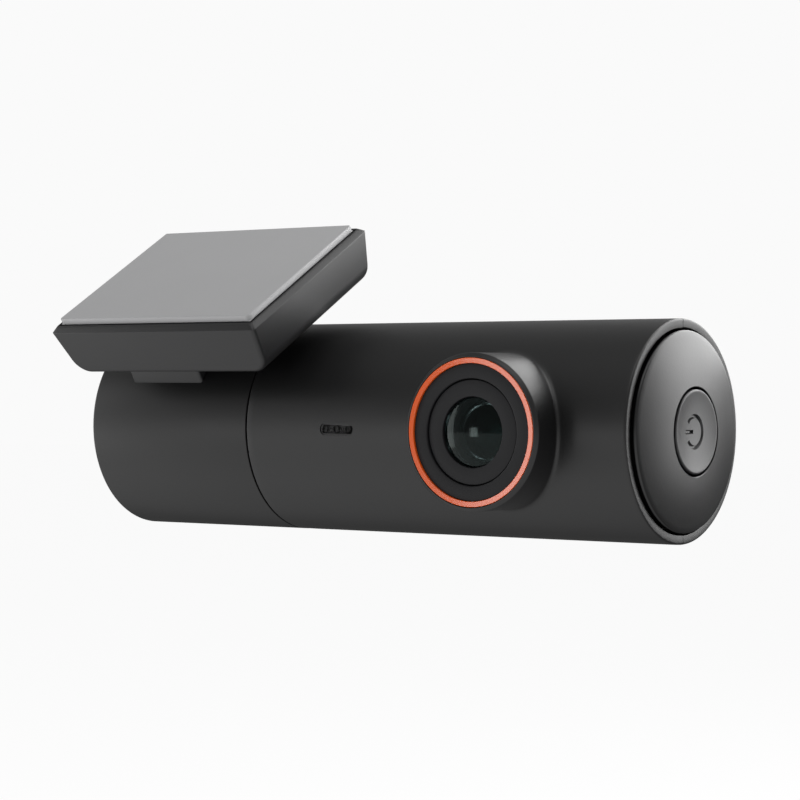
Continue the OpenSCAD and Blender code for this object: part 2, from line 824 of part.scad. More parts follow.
module card_socket() {
    half = card_w / 2 + card_gap;
    color("silver") barrel_frame() difference() {
        block([card_x - half - socket_wall, board_back, -socket_tail],
              [card_x + half + socket_wall, socket_y1, card_len - card_tail + 1.2]);
        block([card_x - half, card_y - 0.2, -card_tail - over],
              [card_x + half, card_y + card_t + 0.2, card_len - card_tail + 0.4]);
    }
}

module memory_card() {
    color("#303030") barrel_frame() difference() {
        block([card_x - card_w / 2, card_y, -card_tail], [card_x + card_w / 2, card_y + card_t, card_len - card_tail]);
        block([card_x + card_w / 2 - 1.2, card_y - over, card_len - card_tail - 6],
              [card_x + card_w / 2 + over, card_y + card_t + over, card_len - card_tail + over]);
    }
}

// ---------- Turning body: right-hand end ----------

module end_frame() {
    color("gray") barrel_frame() difference() {
        union() {
            rod_x(frame_x0, frame_x1, inner_r - snug);
            tube_x(frame_x1 - 0.2, cap_skirt_x0 + 1.5, cap_r - cap_t - snug, cap_r - cap_t - 1);
        }
        rod_x(frame_x0 - over, frame_x1 + over, 2.5);
        bolt_places([-1, 1]) {
            rod_x(frame_x0 - over, frame_x1 + over, clear_r);
            rod_x(frame_x1 - 0.5, frame_x1 + 3, head_r + 0.1);
        }
    }
}

module frame_screws() {
    color("silver") barrel_frame() bolt_places([-1, 1])
        translate([frame_x1 - 0.5, 0, 0]) rotate([0, 90, 0]) screw(4.3);
}

module switch_board() {
    color("darkgreen") barrel_frame() rod_x(frame_x1, switch_board_x1, 7);
}

module tact_switch() {
    color("#202020") barrel_frame() difference() {
        block([switch_board_x1, -2.6, -2.6], [switch_x1, 2.6, 2.6]);
        rod_x(switch_board_x1 + 0.4, switch_x1 + over, plunger_r + 0.06);
    }
}

module switch_plunger() {
    color("ivory") barrel_frame() rod_x(switch_board_x1 + 0.4 + button_travel + 0.1, stem_x0, plunger_r);
}

// Dome outline in the [radius, x] plane
module cap_dome(inset) {
    translate([0, dome_x]) circle(r = dome_r - inset);
}

module cap_profile() {
    past_dome = 10;
    skirt_len = body_x1 + cap_proud - cap_skirt_x0;
    difference() {
        intersection() {
            translate([button_hole_r, cap_skirt_x0]) square([cap_r - button_hole_r, skirt_len + past_dome]);
            cap_dome(0);
        }
        intersection() {
            translate([0, cap_skirt_x0 - over]) square([cap_r - cap_t, skirt_len + past_dome]);
            cap_dome(cap_t);
        }
    }
    // Collar that guides the button and stops its flange
    intersection() {
        translate([button_hole_r, collar_x0]) square([collar_t, past_dome]);
        cap_dome(cap_t / 2);
    }
}

module end_cap() {
    color("#5a5a5c") barrel_frame() rotate([0, 90, 0]) rotate_extrude() cap_profile();
}

module power_symbol() {
    opening = 70;
    rotate([0, 0, opening / 2]) rotate_extrude(angle = 360 - opening)
        translate([symbol_r - symbol_stroke / 2, 0]) square([symbol_stroke, 3]);
    block([0.3, -symbol_stroke / 2, 0], [symbol_r + 0.4, symbol_stroke / 2, 3]);
}

module power_button() {
    face_x = button_top - 0.7 - symbol_depth;
    color("#6a6a6c") barrel_frame() difference() {
        union() {
            rod_x(button_x0, button_top, button_r);
            rod_x(button_x0, button_x0 + button_flange_t, flange_r);
            rod_x(stem_x0, button_x0 + 0.1, 2);
        }
        translate([button_top - 0.75 + dish_r, 0, 0]) sphere(r = dish_r);
        // The symbol's opening and stroke face the lens side
        translate([face_x, 0, 0]) rotate([0, 90, 0]) rotate([0, 0, -90]) power_symbol();
    }
}

adhesive_pad();
bracket_housing();
bracket_cover();
bracket_screws();
rail_spring();
mount_rail();
rail_screws();
sleeve_shell();
hinge_bush();
usb_socket();
port_board();
port_screws();
flex_connector();
flex_cable();
hinge_hub();
hub_screws();
wave_washer();
retaining_ring();
front_shell();
rear_shell();
lens_trim_ring();
lens_bezel();
lens_plate();
lens_tube();
front_element();
middle_element();
relay_element();
lens_holder();
ir_filter();
image_sensor();
sensor_board();
sensor_screws();
board_connector();
mic_gasket();
mic_board();
microphone();
main_board();
main_screws();
processor();
memory_chip();
radio_module();
thermal_pad();
heat_spreader();
supercapacitors();
speaker();
card_socket();
memory_card();
end_frame();
frame_screws();
switch_board();
tact_switch();
switch_plunger();
end_cap();
power_button();
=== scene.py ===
import json
import math

import bmesh
import bpy
from mathutils import Matrix, Vector


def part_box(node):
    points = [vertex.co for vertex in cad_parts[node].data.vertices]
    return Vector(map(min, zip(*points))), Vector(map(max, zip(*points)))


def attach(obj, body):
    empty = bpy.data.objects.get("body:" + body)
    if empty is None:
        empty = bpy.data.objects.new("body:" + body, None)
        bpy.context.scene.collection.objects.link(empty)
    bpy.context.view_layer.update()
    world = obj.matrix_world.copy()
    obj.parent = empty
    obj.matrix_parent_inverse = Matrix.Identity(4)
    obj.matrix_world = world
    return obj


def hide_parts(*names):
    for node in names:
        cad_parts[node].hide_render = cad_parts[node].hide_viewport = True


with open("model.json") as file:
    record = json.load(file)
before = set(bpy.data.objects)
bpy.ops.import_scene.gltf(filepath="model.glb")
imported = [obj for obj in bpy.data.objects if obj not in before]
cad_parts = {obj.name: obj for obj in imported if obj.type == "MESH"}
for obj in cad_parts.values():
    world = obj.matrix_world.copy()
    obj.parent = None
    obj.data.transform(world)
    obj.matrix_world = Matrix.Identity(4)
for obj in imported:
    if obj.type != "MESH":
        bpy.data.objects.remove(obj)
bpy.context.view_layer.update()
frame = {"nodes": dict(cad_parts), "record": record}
scene = bpy.context.scene
mm = 0.001

# Where the frame has the barrel. Sizes below are in millimetres about its axis and the seam
sleeveLow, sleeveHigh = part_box("sleeve_shell")
ringLow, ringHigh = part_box("lens_trim_ring")
capLow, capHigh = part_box("end_cap")
rearLow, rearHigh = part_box("rear_shell")
padLow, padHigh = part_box("adhesive_pad")
seamX = sleeveHigh.x
axisY = (sleeveLow.y + sleeveHigh.y) / 2
axisZ = (sleeveLow.z + sleeveHigh.z) / 2
barrelR = (sleeveHigh.z - sleeveLow.z) / 2 / mm
sleeveEnd = (sleeveLow.x - seamX) / mm
bodyStart = (rearLow.x - seamX) / mm
bodyEnd = (rearHigh.x - seamX) / mm
lensX = ((ringLow.x + ringHigh.x) / 2 - seamX) / mm
lensFront = (axisY - ringLow.y) / mm
trimR = (ringHigh.x - ringLow.x) / 2 / mm
capR = (capHigh.z - capLow.z) / 2 / mm
padX = ((padLow.x + padHigh.x) / 2 - seamX) / mm
padFace = [m for m in frame["record"]["mounts"] if m["name"] == "windshield_face"][0]["axis"]
lean = math.atan2(-padFace[1], padFace[2])


def onBarrel(x, y, z):
    return Vector((seamX + x * mm, axisY + y * mm, axisZ + z * mm))


# Where the camera stands from the cap's end, its turn and dip in radians, and its lens
cameraPlace = {
    "pastEnd": 169.36, "ahead": 303.14, "above": 7.47, "yaw": 0.6248, "pitch": 0.0087,
    "lens": 110.0, "sensor": 36.0,
}


def makeCamera(look):
    spot = onBarrel(bodyEnd + look["pastEnd"], -look["ahead"], look["above"])
    bpy.ops.object.camera_add(location=spot, rotation=(math.pi / 2 - look["pitch"], 0, look["yaw"]))
    camera = bpy.context.object
    camera.name = "studioCamera"
    camera.data.sensor_width = look["sensor"]
    camera.data.lens = look["lens"]
    camera.data.clip_start = 0.01
    scene.camera = camera


makeCamera(cameraPlace)
scene.view_settings.view_transform = "Standard"
print("camera in place")


# Brightness of the backdrop, the room and the floor, and the soft panels round the camera body
studio = {
    "backdrop": 0.956,
    "ambient": 0.34,
    "floorDrop": 150.0,
    "floorSize": 8000.0,
    "floorGlow": 1.10,
    "floorFade": (-90.0, 115.0),
    "floorFar": 0.06,
    "floorShade": 0.02,
    # aim (x, y, z) from the barrel's axis, direction, distance, width and height in mm, brightness
    "panels": {
        "topBackBox": ((45, 0, 4), (0.38, 0.82, 0.43), 700, 600, 460, 5.6),
        "backRightCard": ((66, 0, 0), (0.585, 0.811, -0.02), 700, 300, 190, 4.0),
        "leftCard": ((45, -20, 0), (-0.95, -0.30, 0.05), 600, 260, 500, 1.8),
        "padBox": ((0, 0, 20), (0.15, -0.45, 0.88), 700, 500, 400, 1.8),
        "highCard": ((10, 0, 20), (0.40, 0.32, 0.85), 700, 440, 440, 2.8),
        "topCard": ((45, 0, 4), (-0.12, 0.83, 0.54), 700, 220, 240, 5.6),
        "ringCard": ((44.7, -21.2, 0), (-0.488, -0.872, -0.022), 500, 90, 76, 5.0),
    },
}


def makeWorld(look):
    world = bpy.data.worlds.new("softStudio")
    scene.world = world
    world.use_nodes = True
    tree = world.node_tree
    tree.nodes.clear()
    out = tree.nodes.new("ShaderNodeOutputWorld")
    mix = tree.nodes.new("ShaderNodeMixShader")
    seen = tree.nodes.new("ShaderNodeBackground")
    lit = tree.nodes.new("ShaderNodeBackground")
    path = tree.nodes.new("ShaderNodeLightPath")
    seen.inputs["Color"].default_value = (1, 1, 1, 1)
    seen.inputs["Strength"].default_value = look["backdrop"]
    lit.inputs["Color"].default_value = (1, 1, 1, 1)
    lit.inputs["Strength"].default_value = look["ambient"]
    tree.links.new(path.outputs["Is Camera Ray"], mix.inputs[0])
    tree.links.new(lit.outputs[0], mix.inputs[1])
    tree.links.new(seen.outputs[0], mix.inputs[2])
    tree.links.new(mix.outputs[0], out.inputs[0])


def makePanel(name, aim, direction, distance, wide, high, brightness):
    away = Vector(direction).normalized()
    middle = onBarrel(*aim)
    bpy.ops.object.light_add(type="AREA", location=middle + away * distance * mm)
    panel = bpy.context.object
    panel.name = name
    panel.rotation_euler = away.to_track_quat("Z", "Y").to_euler()
    panel.data.shape = "RECTANGLE"
    panel.data.size = wide * mm
    panel.data.size_y = high * mm
    panel.data.energy = brightness * math.pi * wide * high * mm * mm
    panel.visible_camera = False
    return panel


def makeFloor(look):
    bpy.ops.mesh.primitive_plane_add(size=look["floorSize"] * mm, location=onBarrel(0, 0, -look["floorDrop"]))
    floor = bpy.context.object
    floor.name = "paleFloor"
    paint = bpy.data.materials.new("paleFloorPaint")
    paint.use_nodes = True
    tree = paint.node_tree
    surface = tree.nodes["Principled BSDF"]
    surface.inputs["Base Color"].default_value = (0.05, 0.05, 0.05, 1)
    surface.inputs["Roughness"].default_value = 1.0
    surface.inputs["Specular IOR Level"].default_value = 0.0
    surface.inputs["Emission Strength"].default_value = look["backdrop"] - look["floorShade"]
    # Seen directly the floor is as pale as the backdrop; what it sends up fades behind the camera body
    place = tree.nodes.new("ShaderNodeTexCoord")
    parts = tree.nodes.new("ShaderNodeSeparateXYZ")
    fade = tree.nodes.new("ShaderNodeMapRange")
    path = tree.nodes.new("ShaderNodeLightPath")
    seen = tree.nodes.new("ShaderNodeMath")
    fade.inputs["From Min"].default_value = look["floorFade"][0] * mm
    fade.inputs["From Max"].default_value = look["floorFade"][1] * mm
    fade.inputs["To Min"].default_value = look["floorGlow"]
    fade.inputs["To Max"].default_value = look["floorFar"]
    seen.operation = "MAXIMUM"
    tree.links.new(place.outputs["Object"], parts.inputs[0])
    tree.links.new(parts.outputs["Y"], fade.inputs["Value"])
    tree.links.new(fade.outputs[0], seen.inputs[0])
    tree.links.new(path.outputs["Is Camera Ray"], seen.inputs[1])
    tree.links.new(seen.outputs[0], surface.inputs["Emission Color"])
    floor.data.materials.append(paint)


makeWorld(studio)
for panelName, panelPlan in studio["panels"].items():
    makePanel(panelName, *panelPlan)
makeFloor(studio)
print("studio lit")


# Sets an input socket, or links it where the value is a wire
def plug(inlet, value):
    if isinstance(value, Wire):
        value.tree.links.new(value.socket, inlet)
    else:
        inlet.default_value = value


# A shader socket that can be used in sums, and that adds any other node after it
class Wire:
    def __init__(self, tree, socket=None):
        self.tree = tree
        self.socket = socket

    def node(self, kind, settings=None, values=None, output=0):
        made = self.tree.nodes.new(kind)
        for name, value in (settings or {}).items():
            setattr(made, name, value)
        for name, value in (values or {}).items():
            plug(made.inputs[name], value)
        return Wire(self.tree, made.outputs[output])

    def reckon(self, operation, *terms):
        return self.node("ShaderNodeMath", {"operation": operation}, dict(enumerate(terms)))

    def __add__(self, other):
        return self.reckon("ADD", self, other)

    def __radd__(self, other):
        return self.reckon("ADD", other, self)

    def __sub__(self, other):
        return self.reckon("SUBTRACT", self, other)

    def __rsub__(self, other):
        return self.reckon("SUBTRACT", other, self)

    def __mul__(self, other):
        return self.reckon("MULTIPLY", self, other)

    def __rmul__(self, other):
        return self.reckon("MULTIPLY", other, self)

    def __gt__(self, other):
        return self.reckon("GREATER_THAN", self, other)

    def __lt__(self, other):
        return self.reckon("LESS_THAN", self, other)


def colour4(colour, times=1.0):
    return tuple(min(1.0, part * times) for part in colour[:3]) + (1.0,)


def newFinish(name):
    finish = bpy.data.materials.new(name)
    finish.use_nodes = True
    return finish, finish.node_tree.nodes["Principled BSDF"], Wire(finish.node_tree)


def feed(shader, values):
    for name, value in values.items():
        plug(shader.inputs[name], value)


# On the Mix node the share is input 0, and the colours are inputs 6 and 7 and output 2
def mixColours(wire, share, first, second):
    return wire.node("ShaderNodeMix", {"data_type": "RGBA"}, {0: share, 6: first, 7: second}, 2)


# A piece's own coordinates, in which every pattern is laid
def ownPlace(wire):
    return wire.node("ShaderNodeTexCoord", output=3)


def noise(wire, place, size, detail=2.0, roughness=0.5):
    return wire.node("ShaderNodeTexNoise", {}, {
        "Vector": place, "Scale": 1 / (size * mm), "Detail": detail, "Roughness": roughness})


def bump(wire, height, depth):
    return wire.node("ShaderNodeBump", {}, {"Height": height, "Distance": depth * mm, "Strength": 1.0})


# Injection-moulded plastic: fine eroded grain, faint cloudiness and slight polish changes
def mouldedPlastic(name, colour, roughness=0.42, grain=0.16, depth=0.006, clouds=0.12, shine=0.0,
                   specular=0.5):
    finish, shader, wire = newFinish(name)
    place = ownPlace(wire)
    fine = noise(wire, place, grain, 2.0, 0.6)
    cells = wire.node("ShaderNodeTexVoronoi", {"feature": "SMOOTH_F1"}, {
        "Vector": place, "Scale": 1 / (grain * 1.7 * mm)})
    cloud = noise(wire, place, 9.0, 3.0)
    tone = mixColours(wire, cloud * clouds + fine * 0.25, colour4(colour), colour4(colour, 1.7))
    feed(shader, {
        "Base Color": tone,
        "Roughness": (cloud - 0.5) * 0.05 + (fine - 0.5) * 0.10 + roughness,
        "Normal": bump(wire, fine * 0.6 + cells * 0.6, depth),
        "Coat Weight": shine,
        "Coat Roughness": 0.12,
        "Specular IOR Level": specular,
    })
    return finish


# Plated or stamped metal with drawn lines along X
def platedMetal(name, colour, roughness=0.28, lines=0.05):
    finish, shader, wire = newFinish(name)
    place = ownPlace(wire)
    drawn = wire.node("ShaderNodeMapping", {}, {"Vector": place, "Scale": (0.06, 1.0, 1.0)})
    streak = noise(wire, drawn, 0.12, 3.0, 0.7)
    blotch = noise(wire, place, 2.4, 2.0)
    tone = mixColours(wire, blotch * 0.5 + streak * 0.3, colour4(colour, 0.75), colour4(colour, 1.15))
    feed(shader, {
        "Base Color": tone,
        "Metallic": 1.0,
        "Roughness": roughness + (streak - 0.5) * 0.2 + (blotch - 0.5) * 0.1,
        "Normal": bump(wire, streak, lines * 0.05),
    })
    return finish


# Solder mask over copper tracks, with bare pads here and there
def solderMask(name, colour):
    finish, shader, wire = newFinish(name)
    place = ownPlace(wire)
    tracks = wire.node("ShaderNodeTexBrick", {"offset": 0.37, "squash": 0.6}, {
        "Vector": place, "Scale": 1.0 / (5.0 * mm), "Mortar Size": 0.035, "Mortar Smooth": 0.2}, 1)
    dots = wire.node("ShaderNodeTexVoronoi", {"feature": "F1"}, {"Vector": place, "Scale": 1 / (1.9 * mm)})
    pads = dots < 0.13
    weave = noise(wire, place, 0.35, 2.0)
    green = mixColours(wire, tracks, colour4(colour, 0.8), colour4(colour, 1.9))
    green = mixColours(wire, weave * 0.35, green, colour4(colour, 1.3))
    feed(shader, {
        "Base Color": mixColours(wire, pads, green, (0.75, 0.52, 0.22, 1)),
        "Metallic": pads * 0.9,
        "Roughness": 0.32 + weave * 0.15,
        "Normal": bump(wire, tracks * 0.6 + pads * 0.8 + weave * 0.1, 0.02),
    })
    return finish


# Soft foam or rubber with a fine open skin
def softRubber(name, colour, roughness=0.7, pore=0.12, depth=0.012, sheen=0.15, specular=0.35):
    finish, shader, wire = newFinish(name)
    place = ownPlace(wire)
    pores = wire.node("ShaderNodeTexVoronoi", {"feature": "F1"}, {"Vector": place, "Scale": 1 / (pore * mm)})
    skin = noise(wire, place, pore * 3, 3.0)
    broad = noise(wire, place, 12.0, 2.0)
    tone = mixColours(wire, pores * 0.3 + broad * 0.3, colour4(colour, 1.06), colour4(colour, 0.90))
    feed(shader, {
        "Base Color": tone,
        "Roughness": roughness + (skin - 0.5) * 0.12 + (broad - 0.5) * 0.06,
        "Normal": bump(wire, pores * 0.5 + skin * 0.5, depth),
        "Sheen Weight": sheen,
        "Specular IOR Level": specular,
    })
    return finish


# Polished optical glass with a thin coloured coating and a trace of haze
def coatedGlass(name, colour, tint, clear=1.0, roughness=0.02, ior=1.52, specular=0.3):
    finish, shader, wire = newFinish(name)
    place = ownPlace(wire)
    haze = noise(wire, place, 1.6, 3.0)
    feed(shader, {
        "Base Color": mixColours(wire, haze * 0.5, colour4(colour), colour4(colour, 1.25)),
        "Roughness": roughness + haze * 0.02,
        "Transmission Weight": clear,
        "IOR": ior,
        "Specular IOR Level": specular,
        "Specular Tint": colour4(tint),
    })
    return finish


# Thin printed film, such as a ribbon, with lengthways conductors
def printedFilm(name, colour):
    finish, shader, wire = newFinish(name)
    place = ownPlace(wire)
    lanes = wire.node("ShaderNodeTexWave", {"bands_direction": "Y"}, {
        "Vector": place, "Scale": 0.31 / (0.8 * mm)}, 1)
    mottle = noise(wire, place, 0.8, 2.0)
    copper = lanes > 0.6
    feed(shader, {
        "Base Color": mixColours(wire, copper, colour4(colour), colour4(colour, 0.55)),
        "Roughness": 0.25 + mottle * 0.15,
        "Normal": bump(wire, lanes + mottle * 0.2, 0.02),
        "Coat Weight": 0.3,
    })
    return finish


# One finish for each material slot of the frame; the three numbers are a colour
finishes = {
    "pad_foam": softRubber("padFoam", (0.38, 0.38, 0.385), 0.48, 0.10, 0.003, 0.0, 0.5),
    "bracket_plastic": mouldedPlastic("bracketPlastic", (0.008, 0.008, 0.0085), 0.44),
    "barrel_plastic": mouldedPlastic("barrelPlastic", (0.0025, 0.0025, 0.0027), 0.42),
    "cap_plastic": mouldedPlastic("capPlastic", (0.003, 0.003, 0.0033), 0.34),
    "button_plastic": mouldedPlastic("buttonPlastic", (0.010, 0.010, 0.011), 0.36),
    "trim_orange": mouldedPlastic("trimOrange", (0.60, 0.080, 0.008), 0.10, 0.10, 0.0003, 0.05, 0.0),
    "bezel_plastic": mouldedPlastic("bezelPlastic", (0.006, 0.006, 0.007), 0.50, specular=0.25),
    "lens_metal": mouldedPlastic("lensBlackening", (0.006, 0.006, 0.007), 0.38, 0.09, 0.004),
    "front_glass": coatedGlass("frontGlass", (0.055, 0.080, 0.080), (0.80, 1.0, 0.96),
                               roughness=0.08, ior=1.28),
    "inner_glass": coatedGlass("innerGlass", (0.45, 0.52, 0.52), (0.70, 0.95, 0.90)),
    "filter_glass": coatedGlass("filterGlass", (0.35, 0.62, 0.70), (1.0, 0.55, 0.65)),
    "sensor_glass": coatedGlass("sensorGlass", (0.03, 0.04, 0.06), (0.7, 0.8, 1.0), 0.0, 0.08),
    "circuit_board": solderMask("solderMask", (0.010, 0.10, 0.045)),
    "chip_resin": mouldedPlastic("chipResin", (0.02, 0.02, 0.02), 0.55, 0.12, 0.01),
    "connector_plastic": mouldedPlastic("connectorNylon", (0.68, 0.65, 0.55), 0.45),
    "flex_film": printedFilm("flexFilm", (0.55, 0.22, 0.04)),
    "screw_steel": platedMetal("screwZinc", (0.60, 0.60, 0.62)),
    "socket_steel": platedMetal("socketNickel", (0.55, 0.55, 0.56), 0.22),
    "can_metal": platedMetal("stampedCan", (0.62, 0.62, 0.63), 0.35),
    "bush_plastic": mouldedPlastic("bushAcetal", (0.72, 0.72, 0.70), 0.35, 0.3, 0.004),
    "inner_plastic": mouldedPlastic("innerMoulding", (0.03, 0.03, 0.031), 0.50, 0.25, 0.012),
    "gasket_rubber": softRubber("gasketRubber", (0.06, 0.06, 0.065)),
    "spreader_aluminium": platedMetal("spreaderAluminium", (0.80, 0.80, 0.81), 0.40),
    "capacitor_sleeve": mouldedPlastic("capacitorSleeve", (0.02, 0.05, 0.30), 0.30, 0.4, 0.004, 0.05, 0.3),
    "speaker_black": softRubber("speakerCone", (0.02, 0.02, 0.02), 0.6, 0.2, 0.02),
    "card_plastic": mouldedPlastic("cardPlastic", (0.015, 0.015, 0.016), 0.40, 0.12, 0.004),
}
for subpart in frame["record"]["subparts"]:
    node = frame["nodes"][subpart["node"]]
    node.data.materials.clear()
    node.data.materials.append(finishes[subpart["material_slot"]])
print("finishes made")


def clearSelection():
    if bpy.context.object and bpy.context.object.mode != "OBJECT":
        bpy.ops.object.mode_set(mode="OBJECT")
    bpy.ops.object.select_all(action="DESELECT")


def makeActive(piece):
    clearSelection()
    piece.select_set(True)
    bpy.context.view_layer.objects.active = piece


def startEdit(piece, kind="VERT"):
    makeActive(piece)
    bpy.ops.object.mode_set(mode="EDIT")
    bpy.ops.mesh.select_mode(type=kind)
    bpy.ops.mesh.select_all(action="DESELECT")


def endEdit():
    bpy.ops.object.mode_set(mode="OBJECT")


# Selects, in edit mode, only the faces or edges that the test accepts
def pick(piece, kind, test):
    bpy.ops.mesh.select_mode(type=kind)
    bpy.ops.mesh.select_all(action="DESELECT")
    shape = bmesh.from_edit_mesh(piece.data)
    shape.normal_update()
    for item in (shape.faces if kind == "FACE" else shape.edges):
        if test(item):
            item.select_set(True)
    bmesh.update_edit_mesh(piece.data)


def closeSeams(piece):
    startEdit(piece)
    bpy.ops.mesh.select_all(action="SELECT")
    bpy.ops.mesh.remove_doubles(threshold=1e-6)
    bpy.ops.mesh.normals_make_consistent(inside=False)
    endEdit()


def applyPlace(piece):
    makeActive(piece)
    bpy.ops.object.transform_apply(location=True, rotation=True, scale=True)


# Rounds the corners of an outline given as (along, out, radius of the corner)
def roundOutline(corners, closed):
    points = []
    for i, (along, out, radius) in enumerate(corners):
        here = Vector((along, out))
        if not radius or (not closed and i in (0, len(corners) - 1)):
            points.append(here)
            continue
        back = (Vector(corners[i - 1][:2]) - here).normalized()
        ahead = (Vector(corners[(i + 1) % len(corners)][:2]) - here).normalized()
        half = back.angle(ahead) / 2
        centre = here + (back + ahead).normalized() * radius / math.sin(half)
        start = here + back * radius / math.tan(half) - centre
        end = here + ahead * radius / math.tan(half) - centre
        steps = max(3, math.ceil(radius / 0.1))
        points += [centre + start.lerp(end, k / steps).normalized() * radius for k in range(steps + 1)]
    return points + [points[0]] if closed else points


# Draws an outline by extruding a point along it, then spins it round the barrel's or the lens's axis
def turnPiece(name, corners, axis, closed=True, steps=160, begin=0.0):
    points = roundOutline(corners, closed)
    if axis == "barrel":
        spots = [onBarrel(along, out * math.sin(begin), out * math.cos(begin)) for along, out in points]
        middle, line = onBarrel(0, 0, 0), (1, 0, 0)
    else:
        spots = [onBarrel(lensX + out, -along, 0) for along, out in points]
        middle, line = onBarrel(lensX, 0, 0), (0, 1, 0)
    clearSelection()
    bpy.ops.mesh.primitive_plane_add(size=mm, location=spots[0])
    piece = bpy.context.object
    piece.name = name
    startEdit(piece)
    bpy.ops.mesh.select_all(action="SELECT")
    bpy.ops.mesh.merge(type="CENTER")
    for last, spot in zip(spots, spots[1:]):
        bpy.ops.mesh.extrude_region_move(TRANSFORM_OT_translate={"value": spot - last})
    bpy.ops.mesh.select_all(action="SELECT")
    bpy.ops.mesh.spin(steps=steps, dupli=False, angle=2 * math.pi, center=middle, axis=line)
    endEdit()
    applyPlace(piece)
    closeSeams(piece)
    return piece


def addBlock(name, low, high):
    low, high = Vector(low), Vector(high)
    clearSelection()
    bpy.ops.mesh.primitive_cube_add(size=1, location=(low + high) / 2, scale=high - low)
    piece = bpy.context.object
    piece.name = name
    applyPlace(piece)
    return piece


def addCylinder(vertices, radius, depth, middle, turned=(math.pi / 2, 0, 0)):
    clearSelection()
    bpy.ops.mesh.primitive_cylinder_add(vertices=vertices, radius=radius * mm, depth=depth * mm,
                                        location=middle, rotation=turned)
    return bpy.context.object


def copyPiece(piece, move):
    extra = piece.copy()
    extra.data = piece.data.copy()
    scene.collection.objects.link(extra)
    extra.location += move
    return extra


def joinPieces(pieces):
    for piece in pieces:
        applyPlace(piece)
    clearSelection()
    for piece in pieces:
        piece.select_set(True)
    bpy.context.view_layer.objects.active = pieces[0]
    bpy.ops.object.join()
    return bpy.context.object


# Cuts one piece out of another, or joins it on, and removes the tool
def combine(piece, tool, operation="DIFFERENCE"):
    makeActive(piece)
    change = piece.modifiers.new("combine", "BOOLEAN")
    change.operation = operation
    change.solver = "EXACT"
    change.use_self = True
    change.object = tool
    bpy.ops.object.modifier_apply(modifier=change.name)
    bpy.data.objects.remove(tool)


def bevelPicked(width, segments=3):
    bpy.ops.mesh.bevel(offset=width * mm, offset_type="OFFSET", segments=segments, affect="EDGES",
                       clamp_overlap=True)


def edgeMiddle(edge):
    return (edge.verts[0].co + edge.verts[1].co) / 2 / mm


# How far an edge runs along each axis, as shares of its length
def edgeRun(edge):
    run = edge.verts[1].co - edge.verts[0].co
    return Vector(abs(part) for part in run.normalized())


def finishPiece(piece, body, slot, nodes, angle=32):
    makeActive(piece)
    bpy.ops.object.shade_smooth_by_angle(angle=math.radians(angle))
    piece.data.materials.clear()
    piece.data.materials.append(finishes[slot])
    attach(piece, body)
    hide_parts(*nodes)
    clearSelection()


# Fixed sleeve, with the power inlet's port in its end
sleeveLook = {
    "wall": 1.6, "endWall": 2.0, "endRound": 0.45, "seamRound": 0.1, "mouthRound": 0.05, "cornerRound": 0.3,
    "portWide": 9.34, "portHigh": 3.6, "portRound": 0.2,
}


def makeSleeve(look):
    inner = barrelR - look["wall"]
    sleeve = turnPiece("sleeve_moulding", [
        (sleeveEnd, 0, 0), (sleeveEnd, barrelR, look["endRound"]), (0, barrelR, look["seamRound"]),
        (0, inner, look["mouthRound"]), (sleeveEnd + look["endWall"], inner, look["cornerRound"]),
        (sleeveEnd + look["endWall"], 0, 0)],
        "barrel", closed=False, steps=192)
    halfHigh = look["portHigh"] / 2
    port = addBlock("portCutter", onBarrel(sleeveEnd - 1, -look["portWide"] / 2, -halfHigh),
                    onBarrel(sleeveEnd + look["endWall"] + 1, look["portWide"] / 2, halfHigh))
    startEdit(port, "EDGE")
    pick(port, "EDGE", lambda edge: abs((edge.verts[0].co - edge.verts[1].co).x) > 2 * mm)
    bevelPicked(halfHigh * 0.98, 10)
    endEdit()
    combine(sleeve, port)
    startEdit(sleeve, "EDGE")
    rim = onBarrel(sleeveEnd, 0, 0)
    pick(sleeve, "EDGE", lambda edge: len(edge.link_faces) == 2 and all(
        abs(v.co.x - rim.x) < 1e-7 and abs(v.co.y - rim.y) < 5 * mm and abs(v.co.z - rim.z) < 2 * mm
        for v in edge.verts) and edge.calc_face_angle(0) > 1.0)
    bevelPicked(look["portRound"], 2)
    endEdit()
    finishPiece(sleeve, "sleeve", "barrel_plastic", ["sleeve_shell"])


makeSleeve(sleeveLook)
print("sleeve made")


# Rear half of the turning body, with its speaker holes, cooling slots and card slot
rearLook = {
    "inner": 14.4, "mouth": 14.65, "mouthStart": bodyEnd - 5.5,
    "endRound": 0.3, "seamRound": 0.1, "mouthRound": 0.15, "stepRound": 0.1, "innerRound": 0.05,
    "partingGap": 0.1, "partingRound": 0.06,
    "speakerX": bodyEnd - 20.2, "holeR": 0.6, "holeStep": 2.1, "holeRings": 2,
    "slotX": bodyStart + 15.8, "slotStep": 3.0, "slotWide": 1.2, "slotHigh": 10.0, "slots": 6,
    "cardX": bodyEnd - 23.5, "cardWide": 11.5, "cardLow": 4.25, "cardHigh": 5.55,
    "scoopR": 6.0, "scoopLong": 4.8, "scoopOut": 4.9, "scoopRound": 0.8,
}


# Round holes in front of the speaker: one tool, copied to its places
def speakerTools(look):
    tools = [addCylinder(24, look["holeR"], 6, onBarrel(look["speakerX"], barrelR, 0))]
    for ring in range(1, look["holeRings"] + 1):
        for i in range(6 * ring):
            turn = math.radians(i * 60 / ring)
            move = Vector((math.cos(turn), 0, -math.sin(turn))) * look["holeStep"] * ring * mm
            tools.append(copyPiece(tools[0], move))
    return tools


